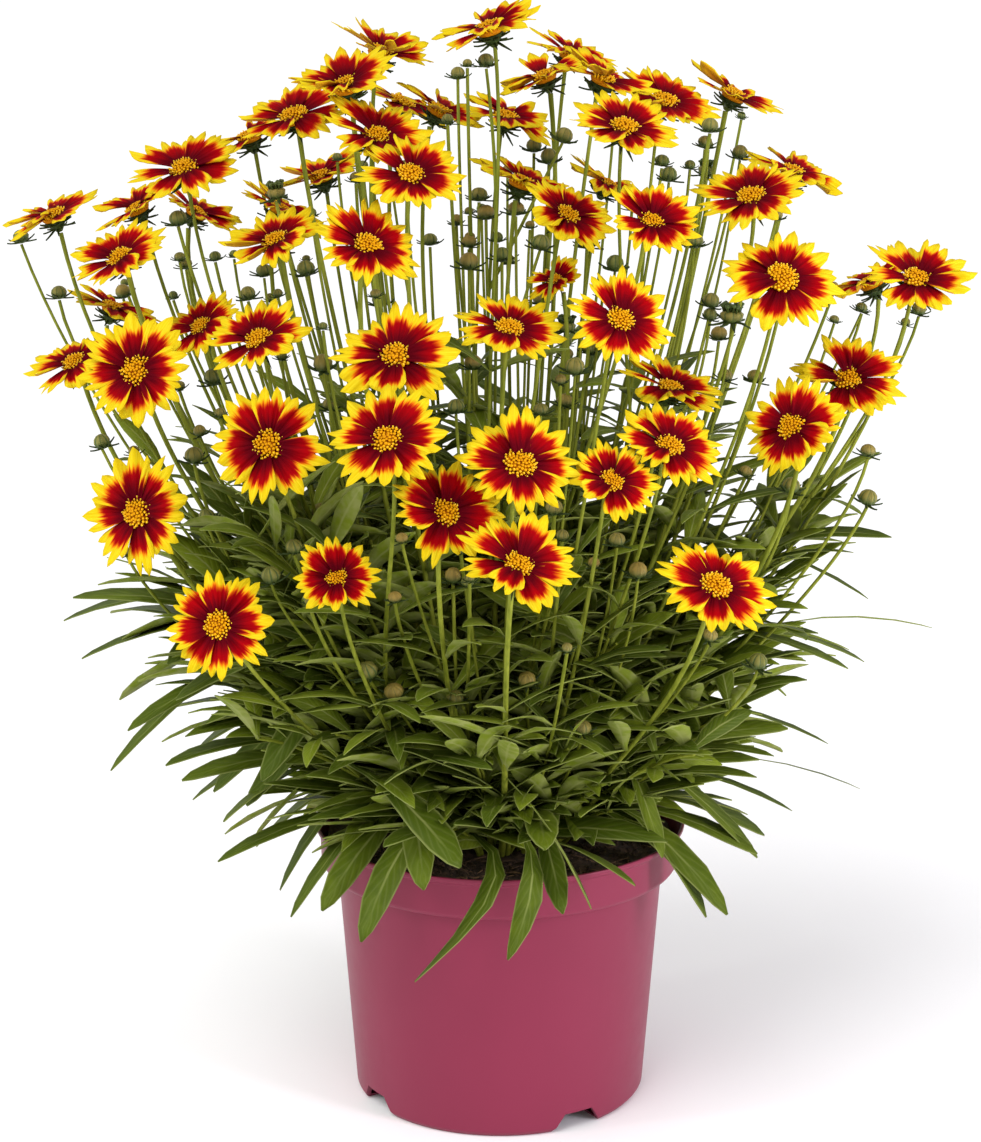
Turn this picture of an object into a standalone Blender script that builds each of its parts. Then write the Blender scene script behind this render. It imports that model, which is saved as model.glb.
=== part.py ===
import math
import random

import bmesh
import bpy
from mathutils import Vector
from mathutils.bvhtree import BVHTree

# A coreopsis with red and yellow blooms in a pink nursery pot.
# Metres, +Z up. The origin is the centre of the pot's flat underside and -Y faces the viewer.

OBJECT_NAME = "coreopsis_in_pot"

# pot
POT_HEIGHT = 0.144
RIM_RADIUS = 0.095
COLLAR_HEIGHT = 0.022
COLLAR_RADIUS = 0.0918
WALL_TOP_RADIUS = 0.0835
BASE_RADIUS = 0.0747
WALL = 0.0018
POT_STEPS = 36
NOTCH_COUNT = 4
NOTCH_TURN = math.radians(-58)
NOTCH_BASE = 0.034
NOTCH_ROOF = 0.016
NOTCH_HEIGHT = 0.0095
NOTCH_DEPTH = 0.020

# soil and crown
SOIL_TOP = 0.136
SOIL_STEPS = 18
CROWN_RADIUS = 0.046
CROWN_DEPTH = 0.010
GAP = 0.0003

# plant
STEM_RADIUS = 0.0016
STEM_FOOT_RADIUS = 0.0021
CUP_RADIUS = 0.0056
CUP_LENGTH = 0.0085
BUD_RADIUS = 0.0052
HEAD_RADIUS = 0.0078
BUD_STEP = 2
LEAF_THICKNESS = 0.0012
LEAF_ROOT = 0.0014
LEAF_LIMIT = 185
RIM_LEAVES = 16
STEM_SHARES = (0.0, 0.30, 0.56, 0.80, 1.0)
PETALS = 8
DISC_SHARE = 0.25
BLOOM_SPAN = 0.058

# The viewpoint from which the places of blooms, buds and leaf tips were measured.
EYE = Vector((-0.0048, -1.371, 0.616))
EYE_DOWN = math.radians(14)
FOCAL_PIXELS = 2808.0
MIDDLE_PIXEL = (490.5, 571.0)

# Each bloom: its disc and its seen width and height in pixels, then in metres
# how far behind the pot's axis it stands and its span across the petals.
# A negative "back" is nearer the viewer. "side" is where it leans: -1 left, 1 right.
BLOOMS = [
    dict(disc=(490, 30), seen=(110, 45), side=-1, back=-0.01, span=0.056),
    dict(disc=(347, 87), seen=(113, 60), side=-1, back=-0.01, span=0.057),
    dict(disc=(380, 54), seen=(100, 38), side=1, back=0.07, span=0.055),
    dict(disc=(294, 118), seen=(108, 58), side=-1, back=0.01, span=0.056),
    dict(disc=(250, 138), seen=(98, 36), side=-1, back=0.08, span=0.055),
    dict(disc=(185, 171), seen=(116, 68), side=-1, back=0.01, span=0.058),
    dict(disc=(376, 138), seen=(113, 64), side=1, back=-0.03, span=0.056),
    dict(disc=(412, 177), seen=(114, 75), side=1, back=-0.06, span=0.055),
    dict(disc=(322, 178), seen=(96, 30), side=-1, back=0.13, span=0.055),
    dict(disc=(402, 104), seen=(80, 46), side=1, back=0.12, span=0.052),
    dict(disc=(438, 112), seen=(78, 50), side=1, back=0.07, span=0.052),
    dict(disc=(506, 119), seen=(96, 44), side=1, back=0.06, span=0.053),
    dict(disc=(521, 184), seen=(100, 38), side=1, back=0.015, span=0.054),
    dict(disc=(603, 81), seen=(98, 40), side=1, back=0.02, span=0.055),
    dict(disc=(570, 56), seen=(92, 26), side=1, back=0.15, span=0.054),
    dict(disc=(545, 78), seen=(94, 40), side=-1, back=0.11, span=0.054),
    dict(disc=(624, 130), seen=(118, 64), side=1, back=-0.03, span=0.057),
    dict(disc=(664, 103), seen=(104, 60), side=1, back=0.04, span=0.056),
    dict(disc=(733, 96), seen=(88, 34), side=1, back=0.07, span=0.054),
    dict(disc=(566, 217), seen=(92, 68), side=1, back=-0.03, span=0.050),
    dict(disc=(606, 186), seen=(80, 40), side=1, back=0.06, span=0.050),
    dict(disc=(651, 224), seen=(98, 74), side=1, back=-0.06, span=0.050),
    dict(disc=(752, 199), seen=(118, 66), side=-1, back=-0.03, span=0.057),
    dict(disc=(792, 174), seen=(96, 50), side=1, back=0.06, span=0.055),
    dict(disc=(781, 280), seen=(124, 104), side=1, back=-0.07, span=0.059),
    dict(disc=(917, 281), seen=(114, 70), side=1, back=-0.02, span=0.058),
    dict(disc=(872, 284), seen=(90, 40), side=-1, back=0.04, span=0.054),
    dict(disc=(276, 243), seen=(101, 63), side=-1, back=-0.03, span=0.053),
    dict(disc=(367, 248), seen=(110, 93), side=1, back=-0.08, span=0.055),
    dict(disc=(280, 211), seen=(76, 30), side=1, back=0.05, span=0.050),
    dict(disc=(54, 217), seen=(94, 42), side=-1, back=0.00, span=0.051),
    dict(disc=(138, 210), seen=(84, 40), side=-1, back=0.07, span=0.051),
    dict(disc=(196, 214), seen=(70, 30), side=1, back=0.11, span=0.050),
    dict(disc=(121, 260), seen=(96, 72), side=-1, back=-0.03, span=0.052),
    dict(disc=(113, 310), seen=(88, 42), side=1, back=0.05, span=0.051),
    dict(disc=(75, 364), seen=(88, 60), side=-1, back=-0.04, span=0.049),
    dict(disc=(137, 371), seen=(115, 117), side=-1, back=-0.07, span=0.056),
    dict(disc=(202, 328), seen=(76, 66), side=-1, back=-0.025, span=0.044),
    dict(disc=(259, 341), seen=(104, 74), side=-1, back=-0.075, span=0.052),
    dict(disc=(396, 359), seen=(130, 98), side=-1, back=-0.11, span=0.060),
    dict(disc=(509, 331), seen=(114, 66), side=1, back=-0.09, span=0.054),
    dict(disc=(619, 321), seen=(102, 97), side=1, back=-0.09, span=0.052),
    dict(disc=(556, 281), seen=(52, 46), side=-1, back=-0.01, span=0.030),
    dict(disc=(670, 390), seen=(104, 48), side=1, back=-0.05, span=0.053),
    dict(disc=(668, 448), seen=(108, 80), side=1, back=-0.12, span=0.052),
    dict(disc=(611, 482), seen=(92, 82), side=1, back=-0.14, span=0.044),
    dict(disc=(519, 466), seen=(124, 107), side=1, back=-0.15, span=0.057),
    dict(disc=(388, 441), seen=(122, 107), side=-1, back=-0.16, span=0.056),
    dict(disc=(269, 446), seen=(121, 120), side=-1, back=-0.12, span=0.057),
    dict(disc=(444, 514), seen=(116, 104), side=1, back=-0.16, span=0.054),
    dict(disc=(518, 567), seen=(119, 90), side=1, back=-0.19, span=0.055),
    dict(disc=(793, 428), seen=(96, 105), side=-1, back=-0.08, span=0.052),
    dict(disc=(848, 381), seen=(115, 82), side=1, back=-0.04, span=0.056),
    dict(disc=(139, 512), seen=(94, 122), side=-1, back=-0.09, span=0.058),
    dict(disc=(220, 626), seen=(108, 115), side=-1, back=-0.14, span=0.053),
    dict(disc=(337, 579), seen=(89, 84), side=-1, back=-0.15, span=0.040),
    dict(disc=(715, 588), seen=(118, 96), side=1, back=-0.15, span=0.056),
]

# Buds: metres behind the pot's axis, then the pixel places of the buds there.
BUDS = {
    0.06: [(352, 106), (534, 146), (564, 136), (486, 213), (740, 153),
           (705, 142), (479, 195), (662, 161), (587, 242), (264, 271), (123, 292)],
    0.03: [(549, 157), (516, 209), (469, 242), (502, 255), (306, 269), (669, 175),
           (710, 126), (694, 241), (615, 264), (21, 237), (719, 334), (59, 293)],
    0.00: [(486, 61), (541, 243), (469, 262), (248, 294), (178, 219), (711, 301), (919, 309),
           (725, 376), (755, 377), (213, 378), (473, 363), (565, 401), (330, 405)],
    -0.05: [(868, 451), (791, 486), (868, 498), (102, 442), (194, 456), (323, 364),
            (456, 407), (575, 367), (321, 512), (207, 517)],
    -0.10: [(554, 508), (617, 540), (638, 571), (453, 576), (271, 576), (294, 547),
            (368, 671), (394, 692), (527, 680), (455, 698), (583, 728), (758, 662)],
    0.10: [(430, 240), (540, 300), (640, 300), (380, 300)],
}
WITHERED = [
    dict(pixel=(707, 168), back=0.09),
    dict(pixel=(276, 190), back=0.03),
    dict(pixel=(732, 313), back=-0.02),
    dict(pixel=(566, 324), back=0.02),
]

# Leaves read from the outline and over the rim: tip in pixels, metres behind the
# pot's axis, length and width in metres.
LEAF_TIPS = [
    dict(pixel=(73, 598), back=-0.02, length=0.115, width=0.010),
    dict(pixel=(64, 621), back=0.01, length=0.120, width=0.011),
    dict(pixel=(82, 659), back=-0.03, length=0.110, width=0.011),
    dict(pixel=(148, 658), back=-0.06, length=0.095, width=0.010),
    dict(pixel=(111, 613), back=0.04, length=0.100, width=0.013),
    dict(pixel=(120, 700), back=0.00, length=0.105, width=0.011),
    dict(pixel=(128, 731), back=-0.05, length=0.100, width=0.009),
    dict(pixel=(111, 771), back=-0.02, length=0.110, width=0.009),
    dict(pixel=(166, 766), back=-0.07, length=0.100, width=0.011),
    dict(pixel=(193, 800), back=0.02, length=0.095, width=0.010),
    dict(pixel=(218, 862), back=-0.06, length=0.110, width=0.009),
    dict(pixel=(868, 599), back=-0.02, length=0.115, width=0.009),
    dict(pixel=(932, 628), back=0.00, length=0.125, width=0.009),
    dict(pixel=(849, 650), back=-0.05, length=0.100, width=0.010),
    dict(pixel=(864, 662), back=0.03, length=0.105, width=0.011),
    dict(pixel=(848, 669), back=-0.03, length=0.100, width=0.013),
    dict(pixel=(828, 744), back=0.00, length=0.110, width=0.010),
    dict(pixel=(788, 729), back=-0.07, length=0.095, width=0.010),
    dict(pixel=(860, 789), back=-0.03, length=0.120, width=0.009),
    dict(pixel=(782, 752), back=0.04, length=0.095, width=0.013),
    dict(pixel=(792, 811), back=0.01, length=0.105, width=0.010),
    dict(pixel=(757, 858), back=-0.04, length=0.100, width=0.010),
    dict(pixel=(727, 915), back=-0.07, length=0.110, width=0.012),
    dict(pixel=(415, 982), back=-0.125, length=0.105, width=0.010),
    dict(pixel=(361, 942), back=-0.110, length=0.085, width=0.016),
    dict(pixel=(322, 911), back=-0.090, length=0.090, width=0.015),
    dict(pixel=(508, 960), back=-0.125, length=0.075, width=0.014),
    dict(pixel=(460, 868), back=-0.120, length=0.080, width=0.015),
    dict(pixel=(424, 890), back=-0.115, length=0.080, width=0.013),
    dict(pixel=(563, 914), back=-0.120, length=0.080, width=0.010),
    dict(pixel=(591, 909), back=-0.120, length=0.075, width=0.009),
    dict(pixel=(662, 858), back=-0.090, length=0.085, width=0.010),
    dict(pixel=(635, 886), back=-0.105, length=0.080, width=0.009),
    dict(pixel=(545, 850), back=-0.130, length=0.085, width=0.013),
    dict(pixel=(312, 853), back=-0.060, length=0.085, width=0.011),
    dict(pixel=(384, 847), back=-0.110, length=0.075, width=0.013),
]

COLOURS = {
    "pot_pink": ((0.36, 0.055, 0.115, 1), 0.32),
    "peat": ((0.045, 0.026, 0.016, 1), 0.95),
    "leaf_green": ((0.055, 0.11, 0.022, 1), 0.6),
    "petal_red": ((0.42, 0.008, 0.012, 1), 0.6),
}

UP = Vector((0, 0, 1))
FORWARD = Vector((0, math.cos(EYE_DOWN), -math.sin(EYE_DOWN)))
SEEN_UP = Vector((0, math.sin(EYE_DOWN), math.cos(EYE_DOWN)))
RIGHT = Vector((1, 0, 0))


def clear_scene():
    for obj in list(bpy.data.objects):
        bpy.data.objects.remove(obj, do_unlink=True)
    for collection in list(bpy.data.collections):
        bpy.data.collections.remove(collection)


def new_collection(name):
    collection = bpy.data.collections.new(name)
    bpy.context.scene.collection.children.link(collection)
    return collection


def material(name):
    colour, roughness = COLOURS[name]
    made = bpy.data.materials.new(name)
    made.use_nodes = True
    shader = made.node_tree.nodes["Principled BSDF"]
    shader.inputs["Base Color"].default_value = colour
    shader.inputs["Roughness"].default_value = roughness
    shader.inputs["Metallic"].default_value = 0.0
    made.diffuse_color = colour
    return made


def add_mesh(name, mesh, collection, look):
    obj = bpy.data.objects.new(name, mesh)
    if look:
        mesh.materials.clear()
        mesh.materials.append(look)
    collection.objects.link(obj)
    return obj


def evaluated_mesh(obj):
    graph = bpy.context.evaluated_depsgraph_get()
    return bpy.data.meshes.new_from_object(obj.evaluated_get(graph), depsgraph=graph)


def turned(name, profile, steps, collection, look):
    """A profile of (radius, height) points turned round the Z axis."""
    mesh = bpy.data.meshes.new(name)
    edges = [(i, i + 1) for i in range(len(profile) - 1)]
    mesh.from_pydata([(r, 0, z) for r, z in profile], edges, [])
    obj = add_mesh(name, mesh, collection, look)
    screw = obj.modifiers.new("turn", "SCREW")
    screw.steps = steps
    screw.render_steps = steps
    screw.use_merge_vertices = True
    screw.merge_threshold = 0.00001
    screw.use_smooth_shade = False
    return obj


def place(pixel, back):
    """The point seen at a pixel, on the upright plane that far behind the pot's axis."""
    across = (pixel[0] - MIDDLE_PIXEL[0]) / FOCAL_PIXELS
    down = (pixel[1] - MIDDLE_PIXEL[1]) / FOCAL_PIXELS
    ray = FORWARD + RIGHT * across - SEEN_UP * down
    return EYE + ray * ((back - EYE.y) / ray.y)


def facing(row, centre):
    """The way a bloom faces, from how narrow and how low its round outline looks."""
    full = row["span"] * FOCAL_PIXELS / (centre - EYE).dot(FORWARD)
    narrow = min(1.0, row["seen"][0] / full)
    low = min(1.0, row["seen"][1] / full)
    sideways = 0.8 * row["side"] * math.sqrt(1 - narrow**2)
    upward = math.sqrt(1 - low**2)
    reach = math.hypot(sideways, upward)
    if reach > 0.985:
        sideways *= 0.985 / reach
        upward *= 0.985 / reach
    view = (EYE - centre).normalized()
    aside = UP.cross(view).normalized()
    above = view.cross(aside)
    ahead = math.sqrt(1 - sideways**2 - upward**2)
    return (view * ahead + aside * sideways + above * upward).normalized()


def bloom_frames():
    frames = []
    for row in BLOOMS:
        centre = place(row["disc"], row["back"])
        normal = facing(row, centre)
        frames.append((centre, normal, row["span"] / 2))
    return frames


def petal(bloom, number):
    """Turn, length share and lift of one petal of a bloom."""
    draw = random.Random(1000 * bloom + number)
    turn = 2 * math.pi * (number + draw.uniform(-0.10, 0.10)) / PETALS
    return turn + 0.7 * bloom, draw.uniform(0.93, 1.0), draw.uniform(-0.035, 0.075)


def corolla(name, bloom, frame, collection, look):
    """Toothed petals round a low disc, as one closed body with a keen edge."""
    centre, normal, radius = frame
    aside = normal.orthogonal().normalized()
    ahead = normal.cross(aside)

    def at(turn, reach, height):
        flat = aside * math.cos(turn) + ahead * math.sin(turn)
        return centre + (flat * reach + normal * height) * radius

    body = bmesh.new()
    petals = [petal(bloom, number) for number in range(PETALS)]
    crest = body.verts.new(at(0, 0, 0.15))
    back = body.verts.new(at(0, 0, -0.055))
    inner = []
    outline = []
    for number, (turn, reach, lift) in enumerate(petals):
        before = petals[number - 1][0] - (2 * math.pi if number == 0 else 0)
        half = (turn - before) / 2
        after = petals[(number + 1) % PETALS][0] + (2 * math.pi if number == PETALS - 1 else 0)
        rest = (after - turn) / 2
        inner.append(body.verts.new(at(turn - half, DISC_SHARE, 0.05)))
        outline.append([
            body.verts.new(at(turn - half, 0.56, lift / 2)),
            body.verts.new(at(turn - 0.62 * half, 0.90 * reach, lift + 0.02)),
            body.verts.new(at(turn - 0.30 * half, 0.84 * reach, lift)),
            body.verts.new(at(turn, reach, lift - 0.01)),
            body.verts.new(at(turn + 0.30 * rest, 0.84 * reach, lift)),
            body.verts.new(at(turn + 0.62 * rest, 0.90 * reach, lift + 0.02)),
        ])
    for number in range(PETALS):
        near = inner[number]
        far = inner[(number + 1) % PETALS]
        edge = outline[number] + [outline[(number + 1) % PETALS][0]]
        body.faces.new((crest, near, far))
        body.faces.new((near, edge[3], far))
        for step in range(6):
            root = near if step < 3 else far
            body.faces.new((root, edge[step], edge[step + 1]))
            body.faces.new((back, edge[step + 1], edge[step]))
    bmesh.ops.recalc_face_normals(body, faces=body.faces)
    mesh = bpy.data.meshes.new(name)
    body.to_mesh(mesh)
    body.free()
    return add_mesh(name, mesh, collection, look)


def meets_bloom(point, frames, own, room):
    for number, (centre, normal, radius) in enumerate(frames):
        if number in own:
            continue
        offset = point - centre
        height = offset.dot(normal)
        if abs(height) < 0.006 + room and (offset - normal * height).length < radius + room:
            return True
    return False


def meets_pot(point, room):
    radius = math.hypot(point.x, point.y)
    if point.z > POT_HEIGHT + room or radius > RIM_RADIUS + room:
        return False
    return radius > RIM_RADIUS - 0.010 - room or point.z < SOIL_TOP + room


def bezier(a, b, c, d, t):
    s = 1 - t
    return a * s**3 + b * (3 * s * s * t) + c * (3 * s * t * t) + d * t**3


def stem_path(bloom, frames):
    """Cubic control points from the crown to the neck under a bloom, clear of the others."""
    centre, normal, radius = frames[bloom]
    neck = centre - normal * CUP_LENGTH
    best = None
    for attempt in range(160):
        draw = random.Random(1000 * bloom + attempt)
        spread = 0.004 + 0.0002 * attempt
        foot = Vector((0.165 * neck.x, 0.165 * neck.y, 0))
        foot += Vector((draw.uniform(-spread, spread), draw.uniform(-spread, spread), 0))
        if foot.length > CROWN_RADIUS - 0.007:
            foot *= (CROWN_RADIUS - 0.007) / foot.length
        foot.z = SOIL_TOP - 0.004
        rise = neck.z - foot.z
        chord = neck - foot
        chord.z = 0
        sway = 0.008 + 0.0004 * attempt
        low = foot + chord * draw.uniform(0.35, 0.5) + UP * rise * 0.34
        low += Vector((draw.uniform(-sway, sway), draw.uniform(-sway, sway), 0))
        high = neck - (UP * 0.75 + normal * 0.35) * rise * draw.uniform(0.2, 0.3) - chord * 0.04
        stem = (foot, low, high, neck)
        met = 0
        for step in range(40):
            own = (bloom,) if step > 32 else ()
            met += meets_bloom(bezier(*stem, step / 40), frames, own, 0.003)
            met += meets_bloom(on_stem(stem, step / 40), frames, own, 0.002)
        if best is None or met < best[0]:
            best = (met, stem)
        if met == 0:
            break
    return best[1]


def stalk(name, points, radii, collection):
    """A tube of four sides whose thickness follows the given radii."""
    curve = bpy.data.curves.new(name, "CURVE")
    curve.dimensions = "3D"
    curve.bevel_depth = 1.0
    curve.bevel_resolution = 0
    curve.use_fill_caps = True
    spline = curve.splines.new("POLY")
    spline.points.add(len(points) - 1)
    for vertex, point, radius in zip(spline.points, points, radii):
        vertex.co = (point.x, point.y, point.z, 1)
        vertex.radius = radius
    guide = bpy.data.objects.new(name, curve)
    collection.objects.link(guide)
    mesh = evaluated_mesh(guide)
    bpy.data.objects.remove(guide, do_unlink=True)
    weld(mesh)
    return add_mesh(name, mesh, collection, None)


def weld(mesh):
    body = bmesh.new()
    body.from_mesh(mesh)
    bmesh.ops.remove_doubles(body, verts=body.verts, dist=0.000005)
    bmesh.ops.recalc_face_normals(body, faces=body.faces)
    body.to_mesh(mesh)
    body.free()


def on_stem(stem, share):
    """A point on the straight runs of a stem."""
    for start, end in zip(STEM_SHARES, STEM_SHARES[1:]):
        if share <= end:
            near = bezier(*stem, start)
            return near.lerp(bezier(*stem, end), (share - start) / (end - start))
    return stem[3]


def leaf_points(root, bend, tip, width, roll, t):
    """Centre, half width vector and upward normal at share t of a leaf."""
    centre = root * (1 - t) ** 2 + bend * (2 * t * (1 - t)) + tip * t**2
    along = ((bend - root) * (1 - t) + (tip - bend) * t).normalized()
    aside = along.cross(UP).normalized()
    normal = aside.cross(along)
    aside = aside * math.cos(roll) + normal * math.sin(roll)
    normal = aside.cross(along)
    share = 0.22 + 0.78 * math.sin(math.pi * min(1.0, 0.08 + 0.92 * t)) ** 0.9
    return centre, aside * (width / 2 * share), normal


def leaf_clear(leaf, frames):
    for step in range(1, 37):
        t = min(step / 36, 0.999)
        centre, half, normal = leaf_points(*leaf, t)
        for side in (-1, 0, 1):
            point = centre + half * side
            if meets_bloom(point, frames, (), 0.0025):
                return False
            if step > 4 and meets_pot(point, 0.003):
                return False
            if point.z < 0.02:
                return False
    return True


def blade_sections(leaf):
    """Three-sided sections of a leaf, widest near its middle, and its tip."""
    sections = []
    for t, depth in ((0.0, 0.6), (0.42, 1.0), (0.76, 0.8)):
        centre, half, normal = leaf_points(*leaf, t)
        if t == 0.0:
            half = half.normalized() * LEAF_ROOT / 2
            centre = centre + normal * 0.3 * LEAF_THICKNESS
        sections.append((centre - half, centre + half, centre - normal * LEAF_THICKNESS * depth))
    return sections, leaf[2]


def blade_faces(count):
    faces = [(0, 1, 2)]
    for ring in range(count - 1):
        for i in range(3):
            j = (i + 1) % 3
            faces.append((3 * ring + i, 3 * ring + j, 3 * ring + 3 + j))
            faces.append((3 * ring + i, 3 * ring + 3 + j, 3 * ring + 3 + i))
    last = 3 * (count - 1)
    for i in range(3):
        faces.append((last + i, last + (i + 1) % 3, 3 * count))
    return faces


def blade(name, leaf, collection):
    """A leaf as a loft of its sections."""
    sections, tip = blade_sections(leaf)
    mesh = bpy.data.meshes.new(name)
    points = [point for section in sections for point in section] + [tip]
    mesh.from_pydata(points, [], blade_faces(len(sections)))
    weld(mesh)
    return add_mesh(name, mesh, collection, None)


def free_part(leaf):
    """The leaf without its root, to test it against its neighbours."""
    sections, tip = blade_sections(leaf)
    start = leaf_points(*leaf, 0.14)
    first = (start[0] - start[1], start[0] + start[1], start[0] - start[2] * LEAF_THICKNESS)
    points = [point for section in [first] + sections[1:] for point in section] + [tip]
    return BVHTree.FromPolygons(points, blade_faces(len(sections)))


def nearest_root(tip, length, stems, lowest):
    """The stem and share from which a leaf of that length reaches the tip."""
    best = None
    for number, stem in enumerate(stems):
        for step in range(1, 15):
            share = 0.02 + step * 0.03
            point = bezier(*stem, share)
            if point.z < lowest:
                continue
            miss = abs((tip - point).length - length)
            miss += 0.5 * max(0.0, (0.02 + tip.z - 0.5 * length) - point.z)
            miss += 0.4 * max(0.0, point.z - tip.z - 0.06)
            if best is None or miss < best[0]:
                best = (miss, number, share)
    return best[1:]


def rim_tips():
    """Tips of low leaves that hang over the rim at the sides and the back."""
    tips = []
    for number in range(RIM_LEAVES):
        draw = random.Random(300 + number)
        turn = math.radians(55 + 250 * (number + draw.uniform(-0.3, 0.3)) / (RIM_LEAVES - 1))
        reach = draw.uniform(0.112, 0.142)
        tip = Vector((reach * math.sin(turn), -reach * math.cos(turn), draw.uniform(0.115, 0.165)))
        tips.append((tip, draw.uniform(0.085, 0.100), draw.uniform(0.010, 0.013)))
    return tips


def outline_leaves(stems, frames):
    """The leaves with measured tips: for each a few arches, the first ones preferred."""
    leaves = []
    tips = [(place(row["pixel"], row["back"]), row["length"], row["width"]) for row in LEAF_TIPS]
    for number, (tip, length, width) in enumerate(tips + rim_tips()):
        draw = random.Random(500 + number)
        stem, share = nearest_root(tip, length, stems, SOIL_TOP + 0.012)
        root = on_stem(stems[stem], share)
        choices = []
        for attempt in range(30):
            arch = 0.18 + 0.03 * attempt
            bend = root.lerp(tip, 0.5) + UP * (tip - root).length * arch
            leaf = (root, bend, tip, width, draw.uniform(-0.5, 0.5))
            if leaf_clear(leaf, frames):
                choices.append(leaf)
        leaves.append(choices[:8])
    return leaves


def stem_leaves(stems, frames):
    """Opposite pairs of leaves up the lower part of every stem."""
    leaves = []
    for number, stem in enumerate(stems):
        draw = random.Random(9000 + number)
        heading = draw.uniform(0, 2 * math.pi)
        share = draw.uniform(0.05, 0.10)
        while share < 0.62:
            root = on_stem(stem, share)
            size = draw.uniform(0.85, 1.1) * (0.100 - 0.085 * share)
            width = draw.uniform(0.85, 1.15) * (0.0125 - 0.010 * share)
            for side in (0, 1):
                turn = heading + math.pi * side + draw.uniform(-0.3, 0.3)
                flat = Vector((math.cos(turn), math.sin(turn), 0))
                outward = Vector((root.x, root.y, 0)) * 6
                flat = (flat + outward).normalized()
                climb = draw.uniform(0.25, 0.75)
                droop = draw.uniform(-0.45, 0.10)
                roll = draw.uniform(-0.5, 0.5)
                bend = root + (flat * 0.75 + UP * climb).normalized() * size * 0.5
                tip = bend + (flat + UP * (climb * 0.5 + droop)).normalized() * size * 0.5
                leaf = (root, bend, tip, width, roll)
                if leaf_clear(leaf, frames):
                    leaves.append(leaf)
            heading += math.pi / 2 + draw.uniform(-0.3, 0.3)
            share += draw.uniform(0.07, 0.11)
    return leaves


def stalk_root(centre, radius, stems, frames):
    """The nearest stem point from which a straight stalk reaches a bud past every bloom."""
    best = None
    for stem in stems:
        for step in range(12, 39):
            point = on_stem(stem, step / 40)
            drop = centre.z - point.z
            aside = math.hypot(centre.x - point.x, centre.y - point.y)
            if drop < 0.03 or drop > 0.16 or aside > 0.6 * drop:
                continue
            cost = 2 * aside + abs(drop - 0.075)
            if best is not None and cost > best[0]:
                continue
            run = [point.lerp(centre, k / 40) for k in range(41)] + [centre + UP * radius]
            if not any(meets_bloom(p, frames, (), 0.3 * radius) for p in run):
                best = (cost, point)
    return best and best[1]


def bud_stalks(stems, frames):
    """For each bud: the point where its stalk leaves a stem, the bud's centre and its size."""
    places = [(row["pixel"], row["back"], HEAD_RADIUS) for row in WITHERED]
    places += [(pixel, back, BUD_RADIUS) for back, group in BUDS.items()
               for pixel in group[::BUD_STEP]]
    stalks = []
    for pixel, back, radius in places:
        for shift in (0, 0.02, -0.02, 0.04, -0.04, 0.06, -0.06):
            centre = place(pixel, back + shift)
            root = stalk_root(centre, radius, stems, frames)
            if root:
                stalks.append((root, centre, radius))
                break
    return stalks


def chosen_leaves(stems, frames, pieces):
    """The measured leaves and then those of the pairs that cross nothing built before them."""
    graph = bpy.context.evaluated_depsgraph_get()
    built = [BVHTree.FromObject(obj, graph) for obj in pieces.objects]
    chosen = []

    def crossings(leaf):
        tree = free_part(leaf)
        return sum(1 for other in built if tree.overlap(other))

    for choices in outline_leaves(stems, frames):
        if choices:
            leaf = min(choices, key=crossings)
            built.append(free_part(leaf))
            chosen.append(leaf)
    pairs = stem_leaves(stems, frames)
    random.Random(41).shuffle(pairs)
    for leaf in pairs:
        if len(chosen) < LEAF_LIMIT and not crossings(leaf):
            built.append(free_part(leaf))
            chosen.append(leaf)
    return chosen


def largest_body(mesh):
    """Drops loose scraps and sealed hollows, and keeps the body with most faces."""
    body = bmesh.new()
    body.from_mesh(mesh)
    bmesh.ops.triangulate(body, faces=body.faces)
    bmesh.ops.remove_doubles(body, verts=body.verts, dist=0.0000005)
    left = set(body.faces)
    groups = []
    while left:
        seed = left.pop()
        group = {seed}
        edge = [seed]
        while edge:
            face = edge.pop()
            for side in face.edges:
                for other in side.link_faces:
                    if other in left:
                        left.remove(other)
                        group.add(other)
                        edge.append(other)
        groups.append(group)
    groups.sort(key=len, reverse=True)
    scraps = [face for group in groups[1:] for face in group]
    bmesh.ops.delete(body, geom=scraps, context="FACES")
    print("bodies found:", [len(group) for group in groups[:8]], len(groups))
    body.to_mesh(mesh)
    body.free()


def joined(base, pieces, solver):
    """One Boolean union of the base with every object in the collection."""
    union = base.modifiers.new("union", "BOOLEAN")
    union.operation = "UNION"
    union.operand_type = "COLLECTION"
    union.collection = pieces
    union.solver = solver
    mesh = evaluated_mesh(base)
    base.modifiers.remove(union)
    base.data = mesh
    largest_body(mesh)
    for obj in list(pieces.objects):
        bpy.data.objects.remove(obj, do_unlink=True)
    bpy.data.collections.remove(pieces)


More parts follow.
